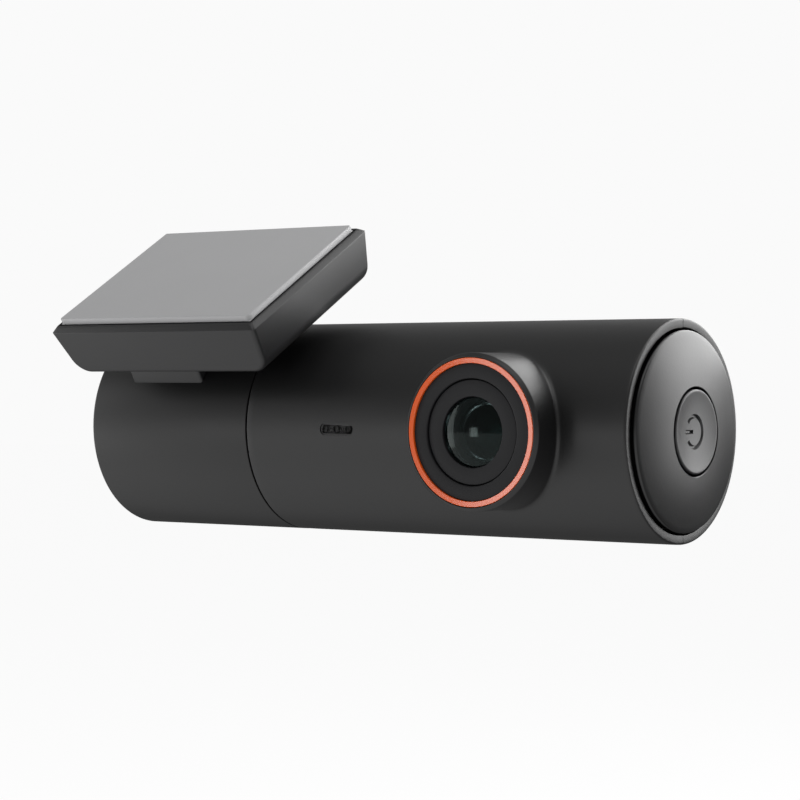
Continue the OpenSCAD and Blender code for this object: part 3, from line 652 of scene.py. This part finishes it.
# Cooling slots with round ends
def coolingTools(look):
    halfWide, halfHigh = look["slotWide"] / 2, look["slotHigh"] / 2
    first = addBlock("coolingCutter", onBarrel(look["slotX"] - halfWide, look["inner"] - 3, -halfHigh),
                     onBarrel(look["slotX"] + halfWide, barrelR + 1, halfHigh))
    startEdit(first, "EDGE")
    pick(first, "EDGE", lambda edge: edgeRun(edge).y > 0.9)
    bevelPicked(look["slotWide"] * 0.49, 6)
    endEdit()
    step = Vector((look["slotStep"] * mm, 0, 0))
    return [first] + [copyPiece(first, step * i) for i in range(1, look["slots"])]


def cardTool(look):
    halfWide = look["cardWide"] / 2
    return addBlock("cardCutter", onBarrel(look["cardX"] - halfWide, look["cardLow"], -barrelR - 1),
                    onBarrel(look["cardX"] + halfWide, look["cardHigh"], -look["inner"] + 2))


# A dip for the thumb beside the card slot
def scoopTool(look):
    middle = (look["cardLow"] + look["cardHigh"]) / 2
    scoop = addCylinder(96, look["scoopR"], look["scoopLong"],
                        onBarrel(look["cardX"], middle, -barrelR - look["scoopOut"]))
    applyPlace(scoop)
    startEdit(scoop, "EDGE")
    pick(scoop, "EDGE", lambda edge: edge.calc_face_angle(0) > 1.0)
    bevelPicked(look["scoopRound"], 4)
    endEdit()
    return scoop


def makeRearShell(look):
    rear = turnPiece("rear_shell_moulding", [
        (bodyStart, barrelR, look["seamRound"]), (bodyEnd, barrelR, look["endRound"]),
        (bodyEnd, look["mouth"], look["mouthRound"]), (look["mouthStart"], look["mouth"], look["stepRound"]),
        (look["mouthStart"], look["inner"], 0), (bodyStart, look["inner"], look["innerRound"])],
        "barrel", steps=192, begin=math.pi / 192)
    startEdit(rear)
    bpy.ops.mesh.select_all(action="SELECT")
    parting = onBarrel(0, look["partingGap"] / 2, 0)
    bpy.ops.mesh.bisect(plane_co=parting, plane_no=(0, 1, 0), use_fill=True, clear_inner=True,
                        clear_outer=False, threshold=1e-8)
    pick(rear, "EDGE", lambda edge: all(abs(v.co.y - parting.y) < 1e-6 for v in edge.verts)
         and edge.calc_face_angle(0) > 1.0 and abs(edgeMiddle(edge).z - axisZ / mm) > barrelR - 0.6)
    bevelPicked(look["partingRound"], 2)
    bpy.ops.mesh.select_all(action="SELECT")
    bpy.ops.mesh.normals_make_consistent(inside=False)
    endEdit()

    combine(rear, joinPieces(speakerTools(look) + coolingTools(look) + [cardTool(look)]))
    combine(rear, scoopTool(look))
    finishPiece(rear, "camera", "barrel_plastic", ["rear_shell"])


makeRearShell(rearLook)
print("rear shell made")


# Front half of the turning body: rings of points run from the lens's seat, over the housing and its
# fillet, out to the edges of the half barrel, round them and back along the inside
frontLook = {
    "spokes": 192, "bore": 9.545, "recess": 10.525, "recessDepth": 1.5, "housing": 11.15, "chamfer": 0.45,
    "fillet": 0.6, "filletSteps": 6, "skinRings": 28, "inner": 14.4, "mouth": 14.65, "mouthDepth": 5.5,
    "leftRound": 0.1, "rightRound": 0.3, "partingGap": 0.1, "partingRound": 0.06, "roundSteps": 4,
    "seatRound": 0.06, "liningInset": 0.5,
}

# Microphone port: a shallow slot with three holes in it
micLook = {
    "middle": lensX - 27.3, "step": 2.13, "holeR": 0.50, "holes": 3, "long": 6.2, "high": 1.8, "deep": 0.16,
}


def cutMicPort(front, look):
    halfLong, halfHigh = look["long"] / 2, look["high"] / 2
    slot = addBlock("micCutter", onBarrel(look["middle"] - halfLong, -barrelR - 1, -halfHigh),
                    onBarrel(look["middle"] + halfLong, -barrelR + look["deep"], halfHigh))
    startEdit(slot, "EDGE")
    pick(slot, "EDGE", lambda edge: edgeRun(edge).y > 0.9)
    bevelPicked(look["high"] * 0.49, 8)
    endEdit()
    # The holes stop just short of the inside of the wall: the thin floor of black plastic left in each is
    # painted shade, standing in for the dark of the deep through-holes
    holes = []
    for i in range(look["holes"]):
        x = look["middle"] + (i - (look["holes"] - 1) / 2) * look["step"]
        holes.append(addCylinder(32, look["holeR"], 3, onBarrel(x, -barrelR - 0.05, 0)))
    combine(front, joinPieces([slot] + holes))


def makeFrontShell(look):
    housing, chamfer, lip, lining = look["housing"], look["chamfer"], look["seatRound"], look["liningInset"]
    partingTurn = math.acos(look["partingGap"] / 2 / barrelR)      # angle of the parting edges from the front
    sides = {"left": bodyStart, "right": bodyEnd, "half": barrelR * partingTurn}

    def around(turn, radius, depth):
        return onBarrel(lensX + radius * math.cos(turn), -depth, radius * math.sin(turn))

    def onSkin(x, s, radius):
        return onBarrel(x, -radius * math.cos(s / barrelR), radius * math.sin(s / barrelR))

    # Where a spoke from the lens's axis meets the edge of the unrolled half barrel
    def edgePoint(turn):
        c, s = math.cos(turn), math.sin(turn)
        reach = []
        if abs(c) > 1e-9:
            reach.append(((sides["right"] if c > 0 else sides["left"]) - lensX) / c)
        if abs(s) > 1e-9:
            reach.append(sides["half"] / abs(s))
        reach = min(reach)
        return lensX + reach * c, reach * s

    def ringAt(radius, depth):
        return lambda turn: around(turn, radius, depth)

    def filletStart(turn):
        return math.sqrt(barrelR ** 2 - (look["housing"] * math.sin(turn)) ** 2)

    def filletAt(t):
        def place(turn):
            foot = look["housing"] + look["fillet"]
            wall = Vector((look["housing"], filletStart(turn) + look["fillet"]))
            corner = Vector((look["housing"], filletStart(turn)))
            skin = Vector((foot, math.sqrt(barrelR ** 2 - (foot * math.sin(turn)) ** 2)))
            spot = wall * (1 - t) ** 2 + corner * 2 * t * (1 - t) + skin * t ** 2
            return around(turn, spot.x, spot.y)
        return place

    def unrolled(turn, radius, cylinder):
        return lensX + radius * math.cos(turn), barrelR * math.asin(radius * math.sin(turn) / cylinder)

    def inset(turn, left, right, parting):
        x, s = edgePoint(turn)
        return (min(max(x, sides["left"] + left), sides["right"] - right),
                min(max(s, -sides["half"] + parting), sides["half"] - parting))

    def skinAt(share):
        def place(turn):
            x0, s0 = unrolled(turn, look["housing"] + look["fillet"], barrelR)
            x1, s1 = inset(turn, look["leftRound"], look["rightRound"], look["partingRound"])
            return onSkin(x0 + (x1 - x0) * share, s0 + (s1 - s0) * share, barrelR)
        return place

    def roundingOf(turn):
        x, s = edgePoint(turn)
        found = [0.0]
        if abs(s) > sides["half"] - 1e-6:
            found.append(look["partingRound"])
        if x < sides["left"] + 1e-6:
            found.append(look["leftRound"])
        if x > sides["right"] - 1e-6:
            found.append(look["rightRound"])
        return max(found)

    def edgeAt(bend):
        def place(turn):
            keep = 1 - math.sin(bend)
            x, s = inset(turn, look["leftRound"] * keep, look["rightRound"] * keep,
                         look["partingRound"] * keep)
            return onSkin(x, s, barrelR - roundingOf(turn) * (1 - math.cos(bend)))
        return place

    def innerRadius(x):
        return look["mouth"] if x > bodyEnd - look["mouthDepth"] else look["inner"]

    def rimAt(lift, pull):
        def place(turn):
            x, s = inset(turn, pull, pull, pull)
            return onSkin(x, s, innerRadius(x) + lift)
        return place

    def scaled(turn, left, right, parting):
        x, s = edgePoint(turn)
        span = sides["right"] - sides["left"]
        return (sides["left"] + left + (x - sides["left"]) / span * (span - left - right),
                s * (1 - parting / sides["half"]))

    def liningAt(right, radius):
        def place(turn):
            x, s = scaled(turn, lining, right, lining)
            return onSkin(x, s, radius)
        return place

    def backAt(share):
        def place(turn):
            x0, s0 = scaled(turn, lining, look["mouthDepth"] + 0.1, lining)
            x1, s1 = unrolled(turn, look["bore"], look["inner"])
            return onSkin(x0 + (x1 - x0) * share, s0 + (s1 - s0) * share, look["inner"])
        return place

    def stepAt(turn):
        x, s = scaled(turn, lining, look["mouthDepth"] - 0.1, lining)
        return onSkin(x, s, innerRadius(x))

    rings = [ringAt(look["recess"], lensFront - look["recessDepth"]), ringAt(look["recess"], lensFront - lip),
             ringAt(look["recess"] + lip * 0.3, lensFront - lip * 0.3),
             ringAt(look["recess"] + lip, lensFront),
             ringAt(housing - chamfer - 0.06, lensFront), ringAt(housing - chamfer, lensFront - 0.02),
             ringAt(housing - chamfer + 0.05, lensFront - 0.07),
             ringAt(housing - 0.08, lensFront - chamfer + 0.05),
             ringAt(housing - 0.02, lensFront - chamfer - 0.03),
             ringAt(housing, lensFront - chamfer - 0.12)]
    rings += [filletAt(i / look["filletSteps"]) for i in range(look["filletSteps"] + 1)]
    rings += [skinAt(i / look["skinRings"]) for i in range(1, look["skinRings"] + 1)]
    rings += [edgeAt(math.pi / 2 * i / look["roundSteps"]) for i in range(1, look["roundSteps"] + 1)]
    rings += [rimAt(0.12, 0), rimAt(0.03, 0.03), rimAt(0, 0.12)]
    rings += [stepAt, liningAt(look["mouthDepth"] + 0.1, look["inner"])]
    rings += [backAt(i / 8) for i in range(1, 9)]
    rings += [ringAt(look["bore"], lensFront - look["recessDepth"])]

    clearSelection()
    bpy.ops.mesh.primitive_circle_add(vertices=look["spokes"], radius=look["bore"] * mm,
                                      location=around(0, 0, lensFront - look["recessDepth"]),
                                      rotation=(math.pi / 2, 0, 0))
    front = bpy.context.object
    front.name = "front_shell_moulding"
    applyPlace(front)
    centre = around(0, 0, 0)
    turns = [math.atan2(v.co.z - centre.z, v.co.x - centre.x) for v in front.data.vertices]
    # The spokes nearest the four corners of the unrolled shell go exactly to them
    for x in (sides["left"], sides["right"]):
        for s in (-sides["half"], sides["half"]):
            corner = math.atan2(s, x - lensX)
            nearest = min(range(len(turns)), key=lambda i: abs(turns[i] - corner))
            turns[nearest] = corner
    spoke = front.data.attributes.new("spoke", "FLOAT", "POINT")
    spoke.data.foreach_set("value", turns)
    startEdit(front, "EDGE")
    bpy.ops.mesh.select_all(action="SELECT")
    for ring in rings:
        bpy.ops.mesh.extrude_edges_move(TRANSFORM_OT_translate={"value": (0, 0, 0)})
        shape = bmesh.from_edit_mesh(front.data)
        layer = shape.verts.layers.float["spoke"]
        for v in shape.verts:
            if v.select:
                v.co = ring(v[layer])
        bmesh.update_edit_mesh(front.data)
    endEdit()
    front.data.attributes.remove(front.data.attributes["spoke"])
    closeSeams(front)

    cutMicPort(front, micLook)
    finishPiece(front, "camera", "barrel_plastic", ["front_shell"])


makeFrontShell(frontLook)
print("front shell made")


ringLook = {"bore": 9.68, "set": 0.06, "thick": 1.5, "edgeRound": 0.05}


def makeTrimRing(look):
    back = lensFront - look["thick"]
    outer = trimR - look["set"]
    ring = turnPiece("trim_ring_turned", [
        (lensFront, look["bore"], look["edgeRound"]), (lensFront, outer, look["edgeRound"]),
        (back, outer, look["edgeRound"]), (back, look["bore"], look["edgeRound"])],
        "lens", steps=192)
    finishPiece(ring, "camera", "trim_orange", ["lens_trim_ring"], 12)


bezelLook = {
    "bore": 7.52, "outer": 9.64, "set": 0.3, "deep": 4.6,
    "boreRound": 0.18, "frontRound": 0.08, "backRound": 0.05,
}


def makeBezel(look):
    front = lensFront - look["set"]
    back = front - look["deep"]
    bezel = turnPiece("bezel_turned", [
        (front, look["bore"], look["boreRound"]), (front, look["outer"], look["frontRound"]),
        (back, look["outer"], look["backRound"]), (back, look["bore"], look["backRound"])], "lens")
    finishPiece(bezel, "camera", "bezel_plastic", ["lens_bezel"])


plateLook = {
    "bore": 5.0, "outer": 7.4, "set": 0.6, "thick": 1.6,
    "boreRound": 0.12, "frontRound": 0.14, "backRound": 0.05,
}
plateBack = lensFront - plateLook["set"] - plateLook["thick"]


def makePlate(look):
    front = lensFront - look["set"]
    plate = turnPiece("lens_plate_turned", [
        (front, look["bore"], look["boreRound"]), (front, look["outer"], look["frontRound"]),
        (plateBack, look["outer"], look["backRound"]), (plateBack, look["bore"], look["backRound"])], "lens")
    finishPiece(plate, "camera", "bezel_plastic", ["lens_plate"])


# Front element: a dome, a short edge and a hollow back
glassLook = {
    "edgeR": 4.9, "set": 0.15, "back": 16.6, "domeR": 14.0, "edgeRound": 0.05,
    "hollowR": 5.0, "hollowEdge": 3.6, "hollowDeep": 1.3, "backFlat": 0.3,
}


def makeFrontGlass(look):
    apex = lensFront - look["set"]
    r, dome = look["edgeR"], look["domeR"]
    crown = [(apex - dome + math.sqrt(dome ** 2 - (r * i / 14) ** 2), r * i / 14, 0) for i in range(15)]
    hollowMiddle = look["back"] + look["hollowDeep"] - look["hollowR"]
    hollow = []
    for i in range(8, -1, -1):
        out = look["hollowEdge"] * i / 8
        hollow.append((hollowMiddle + math.sqrt(look["hollowR"] ** 2 - out ** 2), out, 0))
    flat = look["hollowEdge"] + look["backFlat"]
    edge = [(look["back"], r, look["edgeRound"]), (look["back"], flat, look["edgeRound"])]
    glass = turnPiece("front_glass_ground", crown + edge + hollow, "lens", closed=False, steps=128)
    finishPiece(glass, "camera", "front_glass", ["front_element"])


# Blackened tube with baffle threads behind the glass
tubeLook = {
    "outer": 6.0, "headR": 7.2, "headLong": 4.4, "back": 7.4, "bore": 4.0, "fit": 0.025, "edgeRound": 0.1,
    "threadStep": 0.6, "threadDeep": 0.3, "threadSlope": 0.25, "threadFlat": 0.05,
}


def makeTube(look):
    bore, edgeRound = look["bore"], look["edgeRound"]
    shoulder = plateBack - look["headLong"]
    seat = glassLook["edgeR"] + look["fit"]
    threads = []
    along = glassLook["back"] - look["threadDeep"]
    while along > look["back"] + 0.8:
        foot = along - look["threadSlope"]
        threads += [(along, bore, 0), (foot, bore + look["threadDeep"], 0),
                    (foot - look["threadFlat"], bore + look["threadDeep"], 0)]
        along -= look["threadStep"]
    outside = [(plateBack, seat, 0), (plateBack, look["headR"], edgeRound),
               (shoulder, look["headR"], edgeRound), (shoulder, look["outer"], 0),
               (look["back"], look["outer"], edgeRound), (look["back"], bore, edgeRound)]
    inside = [(glassLook["back"], bore, 0), (glassLook["back"], seat, 0)]
    tube = turnPiece("lens_tube_turned", outside + threads[::-1] + inside, "lens", steps=96)
    finishPiece(tube, "camera", "lens_metal", ["lens_tube"])


makeTrimRing(ringLook)
makeBezel(bezelLook)
makePlate(plateLook)
makeTube(tubeLook)
makeFrontGlass(glassLook)
print("lens made")


# End cap: a dome with a round hole for the button and a skirt that sits in the mouth
capLook = {
    "holeR": 6.35, "proud": 0.65, "crown": 1.45, "lip": 0.10, "undercut": 0.7, "thick": 1.3,
    "edgeRound": 0.25, "holeRound": 0.08, "skirtStart": bodyEnd - 5.2, "skirtRound": 0.1,
    "collar": 0.9, "collarStart": bodyEnd - 2.4, "collarRound": 0.05, "steps": 12,
}


def makeEndCap(look):
    across = ((capR ** 2 - look["holeR"] ** 2) - look["crown"] ** 2) / (2 * look["crown"])
    domeR = math.sqrt(across ** 2 + capR ** 2)
    domeX = bodyEnd + look["proud"] - across

    # Points of the dome from one radius to another, at a depth under it
    def domeFrom(start, end, depth=0.0):
        points = []
        for i in range(look["steps"] + 1):
            out = start + (end - start) * i / look["steps"]
            points.append((domeX + math.sqrt((domeR - depth) ** 2 - out ** 2), out, 0))
        return points

    # A point on the dome or set back from it
    def domeAt(out, back=0.0):
        return domeX + math.sqrt(domeR ** 2 - out ** 2) - back, out, 0

    inner = capR - look["thick"]
    skirt = capR - look["undercut"]
    edge = capR - look["edgeRound"]
    collar = look["holeR"] + look["collar"]
    rim = domeAt(capR)[0] - 0.22
    outline = domeFrom(look["holeR"] + look["holeRound"], edge)
    outline += [domeAt(edge + 0.10, 0.02), domeAt(edge + 0.19, 0.08), (rim, capR, 0),
                (rim - look["lip"], capR, 0), (rim - 0.2 - look["lip"], skirt, look["skirtRound"]),
                (look["skirtStart"], skirt, look["skirtRound"]),
                (look["skirtStart"], inner, look["skirtRound"])]
    outline += domeFrom(inner, collar, look["thick"])
    outline += [(look["collarStart"], collar, look["collarRound"]),
                (look["collarStart"], look["holeR"], look["skirtRound"]),
                domeAt(look["holeR"], look["holeRound"])]
    cap = turnPiece("end_cap_moulding", outline, "barrel", steps=192)
    finishPiece(cap, "camera", "cap_plastic", ["end_cap"])


# Power button: a dished top with the engraved symbol, a flange behind the cap and a stem
buttonLook = {
    "outer": 6.0, "top": bodyEnd + 2.3, "rim": 0.45, "dishR": 34.0, "dishDeep": 0.53, "edgeRound": 0.1,
    "flangeR": 7.05, "flangeStart": bodyEnd - 3.5, "flangeThick": 0.8,
    "stemR": 2.0, "stemStart": bodyEnd - 4.0, "stemRound": 0.15,
    "symbolR": 2.2, "symbolDeep": 0.3, "opening": 70.0,
    "stroke": 0.5, "strokeFrom": 0.3, "strokePast": 0.4, "floorShare": 0.5, "wallSlope": 9.0,
}


def makeButtonBody(look):
    top, r, edgeRound = look["top"], look["outer"], look["edgeRound"]
    rimR = r - look["rim"]
    dishMiddle = top - look["dishDeep"] + look["dishR"]
    outline = []
    for i in range(17):
        out = rimR * i / 16
        outline.append((dishMiddle - math.sqrt(look["dishR"] ** 2 - out ** 2), out, 0))
    # The rim's soft edge, from the dish to the side, as set back and out
    for back, out in ((0.055, 0.12), (0.05, 0.22), (0.09, 0.34), (0.2, 0.43), (0.34, look["rim"])):
        outline.append((top - back, rimR + out, 0))
    shoulder = look["flangeStart"] + look["flangeThick"]
    flange, stem = look["flangeR"], look["stemR"]
    outline += [(shoulder, r, edgeRound), (shoulder, flange, edgeRound),
                (look["flangeStart"], flange, edgeRound), (look["flangeStart"], stem, edgeRound),
                (look["stemStart"], stem, look["stemRound"]), (look["stemStart"], 0, 0)]
    return turnPiece("power_button_moulding", outline, "barrel", closed=False)


# The tool for the symbol: an open ring and a stroke, both facing the lens side, with sloping walls
def symbolTool(look):
    deep = look["top"] - look["dishDeep"] - look["symbolDeep"]
    floorWide = look["stroke"] * look["floorShare"]
    middle = onBarrel(0, 0, 0)
    ringFoot = onBarrel(deep + 1, 0, look["symbolR"])
    clearSelection()
    bpy.ops.mesh.primitive_plane_add(size=1, location=ringFoot, rotation=(math.pi / 2, 0, 0))
    ring = bpy.context.object
    ring.scale = (2 * mm, floorWide * mm, 1)
    applyPlace(ring)
    startEdit(ring, "EDGE")
    pick(ring, "EDGE", lambda edge: min(v.co.x for v in edge.verts) > ringFoot.x)
    bpy.ops.transform.resize(value=(1, 1, look["wallSlope"]),
                             center_override=onBarrel(deep, 0, look["symbolR"]))
    endEdit()
    gap = math.radians(look["opening"])
    turned = Matrix.Rotation(math.pi / 2 - gap / 2, 4, "X")
    ring.data.transform(Matrix.Translation(middle) @ turned @ Matrix.Translation(-middle))
    startEdit(ring, "FACE")
    bpy.ops.mesh.select_all(action="SELECT")
    bpy.ops.mesh.spin(steps=72, dupli=False, angle=2 * math.pi - gap, center=middle, axis=(1, 0, 0))
    endEdit()
    closeSeams(ring)
    half = floorWide / 2
    stroke = addBlock("strokeCutter", onBarrel(deep, -look["symbolR"] - look["strokePast"], -half),
                      onBarrel(deep + 2, -look["strokeFrom"], half))
    startEdit(stroke, "FACE")
    pick(stroke, "FACE", lambda face: face.normal.x > 0.9)
    bpy.ops.transform.resize(value=(1, 1, look["wallSlope"]), center_override=onBarrel(deep, 0, 0))
    endEdit()
    return joinPieces([ring, stroke])


def makePowerButton(look):
    button = makeButtonBody(look)
    combine(button, symbolTool(look))
    finishPiece(button, "button", "button_plastic", ["power_button"], 25)


makeEndCap(capLook)
makePowerButton(buttonLook)
print("end cap and power button made")


# Rail on the sleeve: a saddle on the barrel, a stem and a wider head. The bracket slides off along it
railLook = {
    "middle": -7.1, "wide": 14.1, "gap": 0.3,
    "stemHalf": 6.0, "stemTop": 20.1, "stemSunk": 0.4, "headHalf": 8.5, "headTop": 22.3, "headRound": 0.3,
    "saddleHalf": 9.1, "saddleTop": 17.8, "saddleRound": 0.4, "saddleTopRound": 0.25,
}
housingLook = {
    "top": 26.7, "chamfer": 0.75, "base": 18.1, "halfWide": 20.22, "halfLong": 16.02,
    "baseHalfWide": 18.92, "baseHalfLong": 14.72, "topHalfWide": 19.47, "topHalfLong": 15.27,
    "pocketHalfWide": 19.25, "pocketHalfLong": 14.85, "floor": 19.8, "wall": 2.1, "ledge": 25.2,
    "baseRound": 2.5, "cornerRound": 0.7, "frontRound": 0.36, "sideRound": 0.15,
}
padLook = {
    "halfWide": 19.0, "halfLong": 14.6, "low": 26.7, "high": 27.7,
    "corner": 0.9, "topRound": 0.32, "lowRound": 0.12,
}


# The bracket's pieces are modelled level, along, across and above the barrel's axis, and then leaned back
def tiltToBracket(piece):
    piece.rotation_euler = (lean, 0, 0)
    piece.location = onBarrel(padX, 0, 0)
    applyPlace(piece)


def level(x, v, n):
    return Vector((x, v, n)) * mm


# Marks how much each edge is rounded, then rounds them all at once
def roundMarked(piece, widest, marks, segments=6):
    startEdit(piece, "EDGE")
    for width, test in marks:
        pick(piece, "EDGE", test)
        bpy.ops.transform.edge_bevelweight(value=width / widest)
    endEdit()
    change = piece.modifiers.new("rounding", "BEVEL")
    change.limit_method = "WEIGHT"
    change.width = widest * mm
    change.segments = segments
    change.miter_outer = "MITER_SHARP"
    change.use_clamp_overlap = True
    makeActive(piece)
    bpy.ops.object.modifier_apply(modifier=change.name)


# Scales what is selected from one half size to another, about a height
def taper(oldHalves, newHalves, height):
    shares = (newHalves[0] / oldHalves[0], newHalves[1] / oldHalves[1], 1)
    bpy.ops.transform.resize(value=shares, center_override=level(0, 0, height))


def makeBracketHousing(look, rail):
    shoulder = look["top"] - look["chamfer"]
    sides = (look["halfWide"], look["halfLong"])
    housing = addBlock("bracket_housing_moulding", level(-sides[0], -sides[1], look["base"]),
                       level(sides[0], sides[1], shoulder))
    startEdit(housing, "FACE")
    pick(housing, "FACE", lambda face: face.normal.z < -0.9)
    taper(sides, (look["baseHalfWide"], look["baseHalfLong"]), look["base"])
    pick(housing, "EDGE", lambda edge: edgeMiddle(edge).z < look["base"] + 0.01 and edgeRun(edge).y > 0.9)
    bevelPicked(look["baseRound"], 8)
    # The front and back walls meet the rest in one rounded edge that runs round the bottom corners
    pick(housing, "EDGE", lambda edge: edgeMiddle(edge).z < shoulder - 0.01
         and sum(abs(face.normal.y) > 0.9 for face in edge.link_faces) == 1)
    bevelPicked(look["cornerRound"], 4)
    pick(housing, "FACE", lambda face: face.normal.z > 0.9)
    bpy.ops.mesh.extrude_region_move(TRANSFORM_OT_translate={"value": level(0, 0, look["chamfer"])})
    taper(sides, (look["topHalfWide"], look["topHalfLong"]), look["top"])
    pick(housing, "EDGE", lambda edge: edgeMiddle(edge).z > shoulder - 0.01 and edgeRun(edge).x > 0.9)
    bevelPicked(look["frontRound"], 4)
    pick(housing, "EDGE", lambda edge: edgeMiddle(edge).z > shoulder - 0.01 and edgeRun(edge).y > 0.9
         and edge.calc_face_angle(0) > 0.5)
    bevelPicked(look["sideRound"], 3)
    endEdit()
    closeSeams(housing)

    # Pocket for the pad and its cover, and the cavity under them
    inner = Vector((look["baseHalfWide"], look["baseHalfLong"])) - Vector((look["wall"], look["wall"]))
    pocket = addBlock("pocketCutter", level(-look["pocketHalfWide"], -look["pocketHalfLong"], look["ledge"]),
                      level(look["pocketHalfWide"], look["pocketHalfLong"], look["top"] + 1))
    combine(housing, pocket)
    cavity = addBlock("cavityCutter", level(-inner.x, -inner.y, look["floor"]),
                      level(inner.x, inner.y, look["ledge"] + 0.5))
    combine(housing, cavity)

    # Rail slot, open at the left side and underneath
    left = -look["halfWide"] - 2
    right = rail["middle"] + rail["wide"] / 2 + rail["gap"]
    stem = rail["stemHalf"] + rail["gap"]
    head = rail["headHalf"] + rail["gap"]
    slot = addBlock("stemCutter", level(left, -stem, look["base"] - 1), level(right, stem, rail["stemTop"]))
    combine(housing, slot)
    slot = addBlock("headCutter", level(left, -head, look["floor"] + 0.001),
                    level(right, head, rail["headTop"] + rail["gap"]))
    combine(housing, slot)
    tiltToBracket(housing)
    finishPiece(housing, "bracket", "bracket_plastic", ["bracket_housing"])


def makePad(look):
    pad = addBlock("adhesive_pad_cut", level(-look["halfWide"], -look["halfLong"], look["low"]),
                   level(look["halfWide"], look["halfLong"], look["high"]))
    roundMarked(pad, look["corner"], [
        (look["corner"], lambda edge: edgeRun(edge).z > 0.9),
        (look["topRound"], lambda edge: edgeMiddle(edge).z > look["high"] - 0.01),
        (look["lowRound"], lambda edge: edgeMiddle(edge).z < look["low"] + 0.01),
    ], 5)
    closeSeams(pad)
    tiltToBracket(pad)
    finishPiece(pad, "bracket", "pad_foam", ["adhesive_pad"])


def makeRail(look):
    left, right = look["middle"] - look["wide"] / 2, look["middle"] + look["wide"] / 2
    rail = addBlock("mount_rail_moulding", level(left, -look["saddleHalf"], barrelR / 2),
                    level(right, look["saddleHalf"], look["saddleTop"]))
    startEdit(rail, "EDGE")
    pick(rail, "EDGE", lambda edge: edgeRun(edge).z > 0.9)
    bevelPicked(look["saddleRound"], 4)
    pick(rail, "EDGE", lambda edge: edgeMiddle(edge).z > look["saddleTop"] - 0.01)
    bevelPicked(look["saddleTopRound"], 3)
    endEdit()
    combine(rail, addCylinder(256, barrelR, 60, (0, 0, 0), (0, math.pi / 2, 0)))
    stem = addBlock("railStem", level(left, -look["stemHalf"], look["saddleTop"] - look["stemSunk"]),
                    level(right, look["stemHalf"], look["stemTop"]))
    startEdit(stem, "FACE")
    pick(stem, "FACE", lambda face: face.normal.z > 0.9)
    bpy.ops.mesh.extrude_region_move(TRANSFORM_OT_translate={"value": (0, 0, 0)})
    bpy.ops.transform.resize(value=(1, look["headHalf"] / look["stemHalf"], 1),
                             center_override=level(look["middle"], 0, look["stemTop"]))
    headUp = level(0, 0, look["headTop"] - look["stemTop"])
    bpy.ops.mesh.extrude_region_move(TRANSFORM_OT_translate={"value": headUp})
    pick(stem, "EDGE", lambda edge: edgeMiddle(edge).z > look["stemTop"] + 0.01
         and (edgeRun(edge).z > 0.9 or edgeMiddle(edge).z > look["headTop"] - 0.01))
    bevelPicked(look["headRound"], 3)
    endEdit()
    combine(rail, stem, "UNION")
    tiltToBracket(rail)
    finishPiece(rail, "sleeve", "bracket_plastic", ["mount_rail"])


makeBracketHousing(housingLook, railLook)
makePad(padLook)
makeRail(railLook)
print("bracket made")
